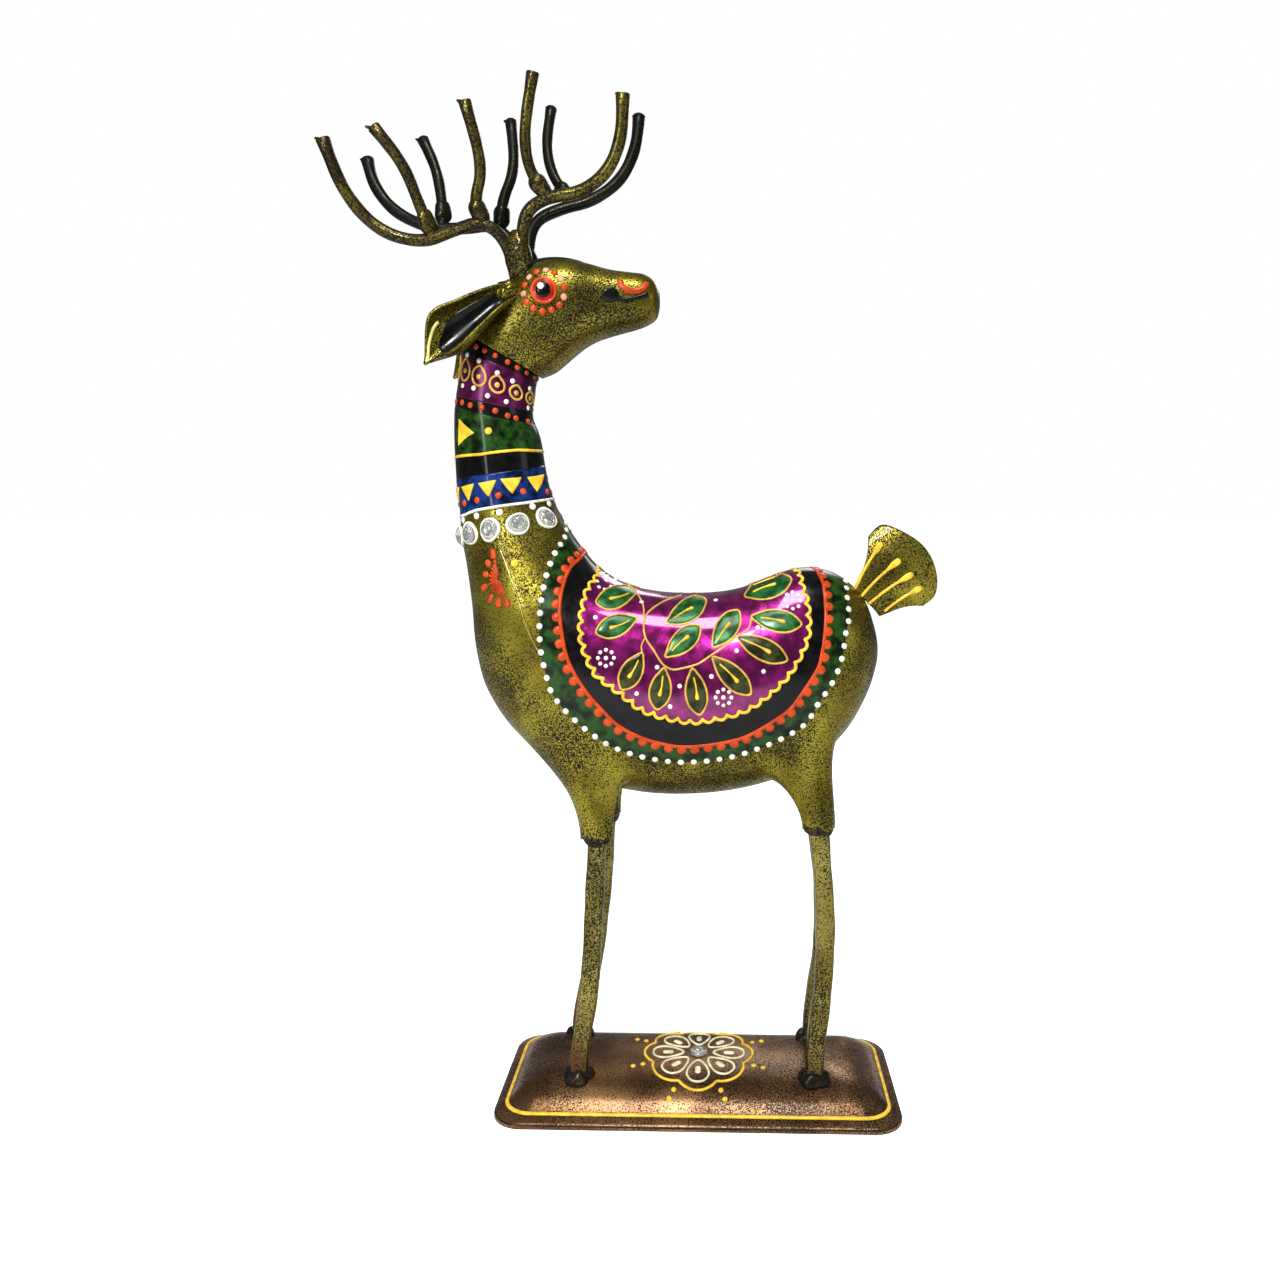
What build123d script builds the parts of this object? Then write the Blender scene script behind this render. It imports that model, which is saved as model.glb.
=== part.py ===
"""Painted sheet-iron deer, standing on a pressed base and looking back over its rump.

Frame: millimetres, +Z up, the origin on the rest plane under the middle of the base.
The body faces -X, its tail is at +X, and the head is turned round to face +X.
Left and right are the animal's own: the body's left side is at -Y, and since the head
is turned round, the head's right side (ear, antler) is at -Y too.
"""

import math
import os

from build123d import *

# ---------------------------------------------------------------- driving dimensions
sheet = 0.9  # iron sheet of the body, neck, head and ears
base_length, base_width, base_corner = 134.0, 60.0, 10.0
base_sheet = 1.0
beam_diameter, tine_diameter = 4.1, 3.7  # antler wire
leg_width, leg_depth, leg_arris = 6.4, 5.8, 1.3
stone_diameter, stone_height = 6.0, 1.9
antler_root_y, antler_splay, antler_root_z = 6.0, 0.24, 274.0
lap_clearance = 0.1  # between the neck and the head's rim that laps it
tiny = 0.05

os.makedirs("parts", exist_ok=True)
pieces = {}


def keep(name, part):
    """Labels a finished piece and remembers it under its node name."""
    part.label = name
    pieces[name] = part


# ---------------------------------------------------------------- base
# The pressed tray: outlines of its outer skin from the rim up, as (height, inset).
base_rings = [(0, 0), (1.5, 0.4), (3.3, 4.0), (6.4, 8.2), (8.1, 11.0), (9.5, 14.8), (10.4, 19.4), (10.9, 24.5)]


def base_skin(rings):
    """A pillow-shaped solid, rising in short straight steps through rounded rectangles."""
    with BuildPart() as skin:
        for height, inset in rings:
            with BuildSketch(Plane.XY.offset(height)):
                RectangleRounded(
                    base_length - 2 * inset,
                    base_width - 2 * inset,
                    max(base_corner - inset * 0.3, 2.5),
                )
        loft(ruled=True)
    return skin.part


base_solid = base_skin(base_rings)
base_hollow = base_skin([(h - base_sheet if h else -1, i + base_sheet) for h, i in base_rings])
with BuildPart() as base_plate:
    add(base_solid)
    add(base_hollow, mode=Mode.SUBTRACT)
keep("base_plate", base_plate.part)


def base_height(x, y):
    """Height of the tray's outer skin above a point of its plan, from its rings."""
    inset = min(base_length / 2 - abs(x), base_width / 2 - abs(y))
    for (low, near), (high, far) in zip(base_rings, base_rings[1:]):
        if inset <= far:
            return low + (high - low) * (inset - near) / (far - near)
    return base_rings[-1][0]


# ---------------------------------------------------------------- oval bodies
def station_plane(front, back):
    """Plane of a section: x runs from the front point to the back one, z down the body."""
    dx, dz = back[0] - front[0], back[1] - front[1]
    middle = ((front[0] + back[0]) / 2, 0, (front[1] + back[1]) / 2)
    return Plane(origin=middle, x_dir=(dx, 0, dz), z_dir=(dz, 0, -dx))


def station(front, back, half_width):
    """A section as its plane, its radius along the plane's x and its radius across."""
    return station_plane(front, back), math.dist(front, back) / 2, half_width


def moved(section, distance):
    """The same section moved along its own normal."""
    plane, radius, half_width = section
    return plane.offset(distance), radius, half_width


def oval_body(sections, shrink=0.0):
    """Straight spans between neighbouring ovals, made thinner all round by shrink."""
    with BuildPart() as body:
        for pair in zip(sections, sections[1:]):
            for plane, radius_x, radius_y in pair:
                with BuildSketch(plane):
                    Ellipse(radius_x - shrink, radius_y - shrink)
            loft(ruled=True)
    return body.part


def hollow_body(sections, start, end):
    """The same spans a sheet thinner, with the end sections moved along their normals."""
    return oval_body([moved(sections[0], start), *sections[1:-1], moved(sections[-1], end)], sheet)


# ---------------------------------------------------------------- torso and lower neck
# Stations from the neck joint down through the chest to the rump. Each is the point on
# the front or belly line, the point on the nape or back line, and the half width.
torso_stations = [
    station((-80.6, 222.5), (-52.6, 221.5), 12.6),
    station((-80.2, 208.0), (-50.5, 208.5), 13.2),
    station((-79.2, 199.0), (-48.6, 202.0), 14.0),
    station((-78.9, 189.9), (-46.0, 196.4), 15.0),
    station((-77.2, 180.0), (-40.5, 187.5), 17.0),
    station((-75.6, 167.0), (-33.2, 178.8), 19.4),
    station((-74.4, 152.0), (-24.0, 173.3), 21.5),
    station((-70.5, 137.5), (-14.0, 171.0), 22.8),
    station((-60.0, 122.5), (-4.0, 170.4), 23.4),
    station((-42.0, 109.5), (6.0, 170.8), 23.5),
    station((-20.0, 103.6), (14.5, 172.4), 23.2),
    station((2.0, 103.2), (23.5, 175.8), 22.7),
    station((21.0, 106.6), (33.0, 178.9), 21.8),
    station((37.0, 113.5), (42.5, 178.2), 20.0),
    station((48.5, 124.0), (50.0, 174.0), 16.5),
    station((55.5, 136.0), (55.2, 168.0), 11.5),
    station((59.0, 146.5), (58.6, 158.5), 5.0),
]
stone_station = torso_stations[3]

# The thighs are drawn down out of the same sheet. Each row is a section's height, centre
# and radii along X and Y; the last one is the open hem that takes the leg.
front_thigh = [
    (128.0, -41.0, 8.5, 13.5, 10.5),
    (114.0, -39.0, 11.4, 14.6, 9.6),
    (101.0, -35.4, 13.0, 9.8, 7.4),
    (91.5, -33.2, 13.4, 5.6, 5.2),
]
rear_thigh = [
    (131.0, 34.5, 8.5, 14.0, 10.5),
    (115.0, 36.5, 11.4, 12.8, 9.4),
    (103.5, 38.0, 13.0, 8.8, 7.2),
    (95.5, 39.2, 13.4, 5.6, 5.2),
]


def thigh_sections(rows, side):
    """The rows as sections facing down, on the animal's left (-1) or right (+1)."""
    return [
        (Plane(origin=(x, side * y, height), x_dir=(1, 0, 0), z_dir=(0, 0, -1)), radius_x, radius_y)
        for height, x, y, radius_x, radius_y in rows
    ]


thighs = [thigh_sections(rows, side) for rows in (front_thigh, rear_thigh) for side in (-1, 1)]
torso_solid = oval_body(torso_stations)
with BuildPart() as body_outside:
    add(torso_solid)
    for thigh in thighs:
        add(oval_body(thigh))
with BuildPart() as body_shell:
    add(body_outside.part)
    add(hollow_body(torso_stations, -2.0, -sheet), mode=Mode.SUBTRACT)
    for thigh in thighs:
        add(hollow_body(thigh, -1.0, 1.0), mode=Mode.SUBTRACT)


def half_of(shell, side):
    """One pressed half of a shell that is seamed along the middle plane."""
    with BuildPart() as half:
        add(shell)
        split(bisect_by=Plane.XZ, keep=Keep.TOP if side < 0 else Keep.BOTTOM)
    return half.part


# ---------------------------------------------------------------- legs
# Square iron bar, slightly bowed. Points (x, z) from the tang inside the thigh to the foot.
leg_lines = {
    "front_left_leg": (-1, [(-32.6, 99.0), (-33.4, 82.0), (-34.6, 60.0), (-36.0, 38.0), (-39.2, 20.0), (-40.0, 6.5)]),
    "front_right_leg": (1, [(-32.4, 99.0), (-33.0, 82.0), (-34.6, 62.0), (-37.0, 40.0), (-42.0, 22.0), (-43.2, 6.5)]),
    "rear_left_leg": (-1, [(39.0, 102.0), (40.3, 86.0), (42.0, 68.0), (41.8, 44.0), (39.0, 22.0), (38.6, 6.5)]),
    "rear_right_leg": (1, [(39.0, 102.0), (41.0, 86.0), (43.4, 68.0), (43.8, 46.0), (40.6, 24.0), (39.2, 6.5)]),
}
leg_y = {-1: 13.6, 1: 13.6}


def corner_radii(points, share=0.45):
    """The largest easy bend at each inner point: share of the shorter run beside it."""
    radii = []
    for a, b, c in zip(points, points[1:], points[2:]):
        before, after = Vector(*b) - Vector(*a), Vector(*c) - Vector(*b)
        turn = math.radians(before.get_angle(after))
        radii.append(share * min(before.length, after.length) / math.tan(turn / 2))
    return radii


def bent_bar(points, section):
    """Sweeps a section along straight runs joined by tangent bends."""
    with BuildPart() as bar:
        with BuildLine() as route:
            FilletPolyline(*points, radius=corner_radii(points))
        with BuildSketch(Plane(origin=route.line @ 0, x_dir=(0, 1, 0), z_dir=route.line % 0)):
            section()
        sweep()
    return bar.part


def bar_section():
    RectangleRounded(leg_depth, leg_width, leg_arris)


for name, (side, line) in leg_lines.items():
    bar = bent_bar([(x, side * leg_y[side], z) for x, z in line], bar_section)
    with BuildPart() as leg:
        add(bar)
        add(base_solid, mode=Mode.SUBTRACT)
    keep(name, leg.part)

# Weld beads where the feet stand on the tray: a low mound round each bar.
bead_foot, bead_top, bead_height, bead_sink = 10.6, 8.2, 2.4, 1.5
with BuildPart() as foot_welds:
    for name, (side, line) in leg_lines.items():
        foot_x, foot_y = line[-1][0], side * leg_y[side]
        foot_z = base_height(foot_x, foot_y)
        for height, width in ((foot_z - bead_sink, bead_foot), (foot_z + bead_height, bead_top)):
            with BuildSketch(Plane((foot_x, foot_y, height))):
                RectangleRounded(width, width, width * 0.35)
        loft()
    add(base_solid, mode=Mode.SUBTRACT)
    for name in leg_lines:
        add(pieces[name], mode=Mode.SUBTRACT)
keep("foot_welds", foot_welds.part)

# A ring of weld closes each thigh's hem round its leg.
hem_weld_depth = 3.0
with BuildPart() as hem_welds:
    for thigh in thighs:
        plane, radius_x, radius_y = thigh[-1]
        ring = (plane, radius_x - sheet, radius_y - sheet)
        add(oval_body([moved(ring, -hem_weld_depth), moved(ring, 0.8)]))
    add(body_shell.part, mode=Mode.SUBTRACT)
    for name in leg_lines:
        add(pieces[name], mode=Mode.SUBTRACT)
keep("hem_welds", hem_welds.part)

# ---------------------------------------------------------------- upper neck
# One rolled sheet from the butt joint on the torso up into the head's lapping rim.
jaw = station((-77.4, 254.6), (-51.4, 241.2), 11.8)
lap_length = 3.0
neck_stations = [
    torso_stations[0],
    station((-80.3, 232.0), (-54.8, 228.0), 12.0),
    station((-78.7, 243.0), (-54.9, 234.0), 11.7),
    jaw,
    moved(jaw, -lap_length),
]
neck_solid = oval_body(neck_stations)
with BuildPart() as upper_neck:
    add(neck_solid)
    add(hollow_body(neck_stations, 1.0, -1.0), mode=Mode.SUBTRACT)
keep("upper_neck", upper_neck.part)

# ---------------------------------------------------------------- head
# Sections across the head's own axis, nape to muzzle: x, underside z, crown z, half width.
head_rows = [
    (-77.4, 250.0, 258.0, 3.8),
    (-74.0, 245.0, 261.8, 8.0),
    (-68.0, 239.0, 266.3, 12.6),
    (-62.0, 234.0, 270.0, 14.0),
    (-57.5, 233.0, 275.0, 14.2),
    (-53.5, 235.5, 278.8, 14.0),
    (-49.5, 239.0, 279.8, 13.7),
    (-42.5, 246.8, 279.5, 12.8),
    (-34.0, 252.6, 277.0, 10.8),
    (-25.0, 255.6, 275.3, 9.2),
    (-18.0, 257.6, 274.6, 8.2),
    (-14.6, 259.6, 272.8, 6.4),
    (-12.8, 262.6, 269.2, 3.1),
]
head_sections = [
    (Plane(origin=(x, 0, (low + high) / 2), x_dir=(0, 0, 1), z_dir=(1, 0, 0)), (high - low) / 2, half_width)
    for x, low, high, half_width in head_rows
]
head_solid = oval_body(head_sections)
with BuildPart() as head_shell:
    add(head_solid)
    add(hollow_body(head_sections, sheet, -sheet), mode=Mode.SUBTRACT)
    split(bisect_by=jaw[0], keep=Keep.BOTTOM)
    add(oval_body([moved(jaw, 1.0), moved(jaw, -lap_length - 1.0)], -lap_clearance), mode=Mode.SUBTRACT)
keep("head_shell_right", half_of(head_shell.part, -1))
keep("head_shell_left", half_of(head_shell.part, 1))

# ---------------------------------------------------------------- ears
# A leaf of sheet rolled into a trough, open downwards and outwards. Sections from root to
# tip along the ear's own axis: distance, radius across, opening half angle in degrees.
ear_root, ear_tip = (-59.5, 12.6, 268.0), (-85.0, 18.5, 244.8)
ear_sections = [(0.0, 3.0, 80), (9.0, 4.6, 84), (20.0, 7.2, 84), (28.0, 6.6, 74), (34.6, 1.8, 50)]


def trough(radius, half_angle):
    """A thin arc of sheet, its hollow side towards the section's -y."""
    half = math.radians(half_angle)

    def at(r, angle):
        return (r * math.sin(angle), r * math.cos(angle))

    inner = radius - sheet
    with BuildSketch() as shape:
        with BuildLine():
            ThreePointArc(at(radius, -half), at(radius, 0), at(radius, half))
            Line(at(radius, half), at(inner, half))
            ThreePointArc(at(inner, half), at(inner, 0), at(inner, -half))
            Line(at(inner, -half), at(radius, -half))
        make_face()
    return shape.sketch


for name, side in (("right_ear", -1), ("left_ear", 1)):
    root = Vector(ear_root[0], side * ear_root[1], ear_root[2])
    axis = (Vector(ear_tip[0], side * ear_tip[1], ear_tip[2]) - root).normalized()
    # The trough's back lies against the head, so it opens outwards and a little down.
    back = Vector(0.15, -side * 0.95, 0.3)
    across = axis.cross(back) * -1
    with BuildPart() as ear:
        for distance, radius, half_angle in ear_sections:
            centre = root + axis * distance - across.cross(axis).normalized() * radius * -0.4
            with BuildSketch(Plane(origin=centre, x_dir=across, z_dir=axis)):
                add(trough(radius, half_angle))
        loft()
        add(head_solid, mode=Mode.SUBTRACT)
        add(neck_solid, mode=Mode.SUBTRACT)
    keep(name, ear.part.solids().sort_by(SortBy.VOLUME)[-1])

# ---------------------------------------------------------------- antlers
# Each antler is five wires. Points are (x, z) in the antler's own leaning plane.
antler_lines = {
    "right": {
        "front_beam": [(-55.0, 272.0), (-56.4, 284.0), (-54.4, 292.6), (-46.6, 296.4), (-37.0, 297.2), (-28.0, 303.0), (-23.4, 313.0), (-22.8, 325.0)],
        "rear_beam": [(-58.8, 272.0), (-60.6, 283.0), (-68.0, 289.6), (-78.4, 286.6), (-88.5, 283.0), (-102.0, 286.6), (-112.0, 298.0), (-116.8, 313.5)],
        "front_tine": [(-46.6, 296.4), (-52.6, 303.0), (-54.0, 314.0), (-50.0, 331.0)],
        "middle_tine": [(-68.0, 289.6), (-70.8, 294.6), (-67.0, 305.0), (-71.6, 323.5)],
        "rear_tine": [(-84.6, 284.6), (-88.0, 294.0), (-92.0, 306.0), (-100.6, 316.6)],
    },
    "left": {
        "front_beam": [(-54.6, 272.0), (-57.6, 285.0), (-55.6, 294.6), (-47.0, 298.8), (-36.0, 301.4), (-26.4, 308.6), (-21.6, 320.0), (-20.8, 331.5)],
        "rear_beam": [(-58.8, 272.0), (-61.0, 285.0), (-68.6, 293.6), (-80.0, 292.0), (-91.0, 292.4), (-103.0, 298.0), (-110.6, 307.6), (-113.2, 317.0)],
        "front_tine": [(-42.0, 300.0), (-49.6, 309.5), (-52.4, 321.0), (-50.8, 334.6)],
        "middle_tine": [(-66.4, 292.4), (-66.8, 301.0), (-62.4, 313.0), (-64.6, 330.2)],
        "rear_tine": [(-86.0, 292.2), (-87.2, 304.0), (-89.6, 314.0), (-94.6, 324.0)],
    },
}
tine_weld_radius, root_weld_radius = 3.3, 4.6
antler_foot = (-56.8, 280.0)


def beam_section():
    Circle(beam_diameter / 2)


def tine_section():
    Circle(tine_diameter / 2)


def antler_point(side, x, z):
    """A point of the antler's plane, which leans outwards as it rises."""
    return (x, side * (antler_root_y + antler_splay * (z - antler_root_z)), z)


for hand, side in (("right", -1), ("left", 1)):
    wires = {}
    for part_name, line in antler_lines[hand].items():
        section = beam_section if part_name.endswith("beam") else tine_section
        wires[part_name] = bent_bar([antler_point(side, x, z) for x, z in line], section)
    cutters = {
        "front_beam": [head_solid],
        "rear_beam": [head_solid, wires["front_beam"]],
        "front_tine": [wires["front_beam"]],
        "middle_tine": [wires["rear_beam"]],
        "rear_tine": [wires["rear_beam"]],
    }
    for part_name, others in cutters.items():
        with BuildPart() as wire:
            add(wires[part_name])
            for other in others:
                add(other, mode=Mode.SUBTRACT)
        keep(f"{hand}_antler_{part_name}", wire.part.solids().sort_by(SortBy.VOLUME)[-1])
    # A blob of weld at the root of each tine, and one where the two beams meet the head.
    with BuildPart() as welds:
        for part_name in ("front_tine", "middle_tine", "rear_tine"):
            with Locations(antler_point(side, *antler_lines[hand][part_name][0])):
                Sphere(tine_weld_radius)
        with Locations(antler_point(side, *antler_foot)):
            Sphere(root_weld_radius)
        add(head_solid, mode=Mode.SUBTRACT)
        for part_name in cutters:
            add(wires[part_name], mode=Mode.SUBTRACT)
    keep(f"{hand}_antler_welds", welds.part)

# ---------------------------------------------------------------- tail
# A fan cut from sheet and dished, its stem welded to the top of the rump.
tail_outline = [(52.0, 169.5), (54.6, 177.0), (55.2, 187.0), (60.6, 193.2)]
tail_arc = [(60.6, 193.2), (73.6, 187.0), (78.8, 172.0)]
tail_return = [(78.8, 172.0), (75.4, 166.4), (64.4, 161.6), (59.6, 164.4), (52.0, 169.5)]
tail_sheet, tail_dish_radius = 1.1, 34.0
tail_axis = Vector(0.82, 0, 0.57)
with BuildPart() as tail:
    with BuildSketch(Plane.XZ.offset(-20)):
        with BuildLine():
            Polyline(*tail_outline)
            ThreePointArc(*tail_arc)
            Polyline(*tail_return)
        make_face()
    extrude(amount=40)
    dish_plane = Plane(origin=Vector(52, tail_dish_radius - 2.0, 170) - tail_axis * 20, z_dir=tail_axis)
    with BuildSketch(dish_plane):
        Circle(tail_dish_radius)
        Circle(tail_dish_radius - tail_sheet, mode=Mode.SUBTRACT)
    extrude(amount=90, mode=Mode.INTERSECT)
    add(body_outside.part, mode=Mode.SUBTRACT)
keep("tail", tail.part.solids().sort_by(SortBy.VOLUME)[-1])

# ---------------------------------------------------------------- glued stones
# Flat-backed domed glass, ten round the foot of the neck and one on the base.
stone_angles = (15.5, 45, 75, 107, 143)  # round the neck from the breast line towards the nape
stone_dome = (stone_height**2 + (stone_diameter / 2) ** 2) / (2 * stone_height)


with BuildPart() as stone_cap:
    with BuildSketch(Plane.XZ):
        with BuildLine():
            Line((0, 0), (stone_diameter / 2, 0))
            RadiusArc((stone_diameter / 2, 0), (0, stone_height), -stone_dome)
            Line((0, stone_height), (0, 0))
        make_face()
    revolve(axis=Axis.Z)


def placed_stone(place, host):
    """The cap with its flat back on a plane, cleared of the piece it is glued to."""
    with BuildPart() as stone:
        with Locations(Location(place)):
            add(stone_cap.part)
        add(host, mode=Mode.SUBTRACT)
    return stone.part


ring_plane, ring_radius, ring_half_width = stone_station
number = 0
for side in (-1, 1):
    for angle in stone_angles:
        number += 1
        around = math.radians(angle)
        local = Vector(-ring_radius * math.cos(around), -side * ring_half_width * math.sin(around), 0)
        outward = Vector(local.X / ring_radius**2, local.Y / ring_half_width**2, 0).normalized()
        place = Plane(
            origin=ring_plane.from_local_coords(local + outward * tiny),
            z_dir=ring_plane.from_local_coords(outward) - ring_plane.origin,
        )
        keep(f"collar_stone_{number}", placed_stone(place, torso_solid))
keep("base_stone", placed_stone(Plane((0, 0, base_rings[-1][0] + tiny)), base_solid))

# ---------------------------------------------------------------- body halves
keep("body_shell_left", half_of(body_shell.part, -1))
keep("body_shell_right", half_of(body_shell.part, 1))

for name, part in pieces.items():
    export_step(part, f"parts/{name}.step")
    box = part.bounding_box()
    print(name, len(part.solids()), round(part.volume, 1), part.is_valid, box.min, box.max)
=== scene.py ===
"""Looks of the painted sheet-iron deer: sponged gold over black, with hand-painted motifs.

Metres, +Z up. The body faces -X, the tail is at +X and the turned head looks to +X. The
deer's own left is at -Y. Shapes are worked out in millimetres and scaled as they are made.
"""

import math

import bmesh
import bpy
import numpy as np
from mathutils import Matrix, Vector


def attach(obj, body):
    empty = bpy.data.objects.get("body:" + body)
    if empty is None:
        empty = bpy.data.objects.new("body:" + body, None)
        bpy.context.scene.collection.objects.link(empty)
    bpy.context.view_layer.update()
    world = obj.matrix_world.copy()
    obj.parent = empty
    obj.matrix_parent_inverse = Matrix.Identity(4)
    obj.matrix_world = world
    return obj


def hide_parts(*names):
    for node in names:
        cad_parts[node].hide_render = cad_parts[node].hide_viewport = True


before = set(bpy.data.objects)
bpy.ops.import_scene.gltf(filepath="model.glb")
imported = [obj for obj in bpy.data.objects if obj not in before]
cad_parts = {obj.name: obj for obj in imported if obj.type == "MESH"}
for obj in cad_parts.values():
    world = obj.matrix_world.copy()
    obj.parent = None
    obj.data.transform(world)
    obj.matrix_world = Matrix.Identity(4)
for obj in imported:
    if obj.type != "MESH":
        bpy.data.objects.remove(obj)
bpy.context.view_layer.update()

# ------------------------------------------------------------------ base tray
# The deer stands on a shallow tray pressed from one oblong of thin sheet: a pillow-shaped
# top with rounded corners, open below. It is painted copper brown, dabbed with black while
# wet, and varnished.
mm = 0.001
base_half_length, base_half_width, base_corner = 67.0, 30.0, 10.0
base_wall = 1.0
base_insets = [0.0, 0.0, 0.6, 2.2, 4.4, 8.2, 13.5, 19.0, 24.5, 29.0]
base_heights = [0.0, 0.9, 1.7, 2.5, 3.5, 6.5, 9.1, 10.3, 10.8, 10.9]


def through(rows, u):
    """A smooth curve through rows: each span is the cubic that leaves a row in the
    direction from the row before it to the row after it. u counts rows."""
    rows = np.asarray(rows, float)
    u = np.clip(np.asarray(u, float), 0, len(rows) - 1)
    i = np.minimum(u.astype(int), len(rows) - 2)
    t = (u - i).reshape(u.shape + (1,) * (rows.ndim - 1))
    before, a, b, after = (rows[np.clip(i + k, 0, len(rows) - 1)] for k in (-1, 0, 1, 2))
    leave, arrive = (b - before) / 2, (after - a) / 2
    return (
        (2 * t**3 - 3 * t**2 + 1) * a
        + (t**3 - 2 * t**2 + t) * leave
        + (3 * t**2 - 2 * t**3) * b
        + (t**3 - t**2) * arrive
    )


def grid_faces(rows, columns, wrap_rows=False, wrap_columns=False):
    """The four-cornered faces of a grid of points numbered row by row."""
    i = np.arange(rows if wrap_rows else rows - 1)[:, None]
    j = np.arange(columns if wrap_columns else columns - 1)[None, :]
    i2, j2 = (i + 1) % rows, (j + 1) % columns
    corners = [i * columns + j, i * columns + j2, i2 * columns + j2, i2 * columns + j]
    return np.stack(np.broadcast_arrays(*corners), -1).reshape(-1, 4)


def outward(points, faces):
    """Points and faces, the faces all turned round if they look inwards on the whole."""
    flat = np.asarray(points, float).reshape(-1, 3)
    corners = flat[faces]
    area = np.cross(corners[:, 2] - corners[:, 0], corners[:, 3] - corners[:, 1])
    away = corners.mean(1) - flat.mean(0)
    return flat, faces if np.sum(area * away) > 0 else faces[:, ::-1]


def new_piece(name, sheets, material, node=None, wall=0.0):
    """A mesh from (points in mm, faces) pairs, riding on the root. Points that lie
    together are joined, and wall thickens a skin inwards into sheet."""
    points = np.concatenate([p.reshape(-1, 3) for p, _ in sheets]) * mm
    firsts = np.cumsum([0] + [p.reshape(-1, 3).shape[0] for p, _ in sheets])
    faces = np.concatenate([face + first for (_, face), first in zip(sheets, firsts)])
    mesh = bpy.data.meshes.new(name)
    mesh.from_pydata(points.tolist(), [], faces.tolist())
    work = bmesh.new()
    work.from_mesh(mesh)
    bmesh.ops.remove_doubles(work, verts=work.verts, dist=0.004 * mm)
    work.to_mesh(mesh)
    work.free()
    mesh.shade_smooth()
    piece = bpy.data.objects.new(name, mesh)
    bpy.context.scene.collection.objects.link(piece)
    mesh.materials.append(material)
    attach(piece, "root")
    if node:
        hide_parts(*([node] if isinstance(node, str) else node))
    if wall:
        thick = piece.modifiers.new("wall", "SOLIDIFY")
        thick.thickness = wall * mm
        thick.offset = -1.0
    return piece


class Recipe:
    """A material being mixed: nodes are added one by one and joined by their sockets."""

    def __init__(self, name):
        self.material = bpy.data.materials.new(name)
        self.material.use_nodes = True
        self.tree = self.material.node_tree
        self.shader = self.tree.nodes["Principled BSDF"]
        self.place = self.tree.nodes.new("ShaderNodeTexCoord").outputs["Object"]

    def set(self, **values):
        for key, value in values.items():
            self.shader.inputs[key.replace("_", " ")].default_value = value

    def join(self, source, target):
        self.tree.links.new(source, target)

    def noise(self, scale, detail=2.0, rough=0.5):
        """Cloudy noise; scale is in cells per metre."""
        node = self.tree.nodes.new("ShaderNodeTexNoise")
        node.inputs["Scale"].default_value = scale
        node.inputs["Detail"].default_value = detail
        node.inputs["Roughness"].default_value = rough
        self.join(self.place, node.inputs["Vector"])
        return node.outputs["Fac"]

    def height(self):
        """Height above the floor, in metres."""
        node = self.tree.nodes.new("ShaderNodeSeparateXYZ")
        self.join(self.place, node.inputs[0])
        return node.outputs["Z"]

    def spread(self, value, low, high, out_low=0.0, out_high=1.0):
        """The value carried smoothly from low..high to out_low..out_high."""
        node = self.tree.nodes.new("ShaderNodeMapRange")
        node.interpolation_type = "SMOOTHSTEP"
        ends = {"From Min": low, "From Max": high, "To Min": out_low, "To Max": out_high}
        for key, number in ends.items():
            node.inputs[key].default_value = number
        self.join(value, node.inputs["Value"])
        return node.outputs["Result"]

    def sums(self, kind, a, b):
        """Two values, sockets or numbers, put through one step of arithmetic."""
        node = self.tree.nodes.new("ShaderNodeMath")
        node.operation = kind
        for socket, value in zip(node.inputs, (a, b)):
            if isinstance(value, (int, float)):
                socket.default_value = value
            else:
                self.join(value, socket)
        return node.outputs[0]

    def blend(self, amount, a, b):
        """Colour a turning into colour b as amount goes from 0 to 1."""
        node = self.tree.nodes.new("ShaderNodeMix")
        node.data_type = "RGBA"
        self.join(amount, node.inputs[0])
        for socket, value in zip((node.inputs[6], node.inputs[7]), (a, b)):
            if isinstance(value, tuple):
                socket.default_value = (*value, 1.0)
            else:
                self.join(value, socket)
        return node.outputs[2]

    def bump(self, height, strength, distance):
        node = self.tree.nodes.new("ShaderNodeBump")
        node.inputs["Strength"].default_value = strength
        node.inputs["Distance"].default_value = distance
        self.join(height, node.inputs["Height"])
        self.join(node.outputs["Normal"], self.shader.inputs["Normal"])


def sponged_paint(
    name, metal, shade, black, cover, fleck_scale=2100.0, gloss=0.3, stain=None, stain_top=0.0
):
    """Metal paint dabbed over black: fine flecks show through, more of them in patches.
    Below stain_top the paint turns towards the stain's colour."""
    mix = Recipe(name)
    flecks = mix.noise(fleck_scale, 3.0, 0.62)
    patches = mix.noise(45.0, 2.0, 0.5)
    drift = mix.noise(75.0, 1.0, 0.5)
    edge = mix.spread(patches, 0.32, 0.68, cover - 0.05, cover + 0.05)
    bare = mix.spread(mix.sums("SUBTRACT", flecks, edge), -0.045, 0.045, 1.0, 0.0)
    paint = mix.blend(mix.spread(drift, 0.35, 0.65), metal, shade)
    if stain:
        fade = 0.012
        low = mix.sums("ADD", mix.height(), mix.spread(patches, 0.3, 0.7, -fade, fade))
        stained = mix.spread(low, stain_top - fade, stain_top + fade, 1.0, 0.0)
        paint = mix.blend(stained, paint, stain)
    mix.join(mix.blend(bare, paint, black), mix.shader.inputs["Base Color"])
    mix.join(mix.spread(bare, 0.0, 1.0, 0.9, 0.0), mix.shader.inputs["Metallic"])
    mix.join(mix.spread(bare, 0.0, 1.0, gloss, 0.45), mix.shader.inputs["Roughness"])
    mix.set(Specular_IOR_Level=0.1, Coat_Weight=0.08, Coat_Roughness=0.07)
    mix.bump(flecks, 0.15, 0.0003)
    return mix.material


copper_paint = sponged_paint(
    "copper brown paint", (0.30, 0.165, 0.075), (0.17, 0.085, 0.036), (0.010, 0.005, 0.002), 0.48
)


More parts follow.
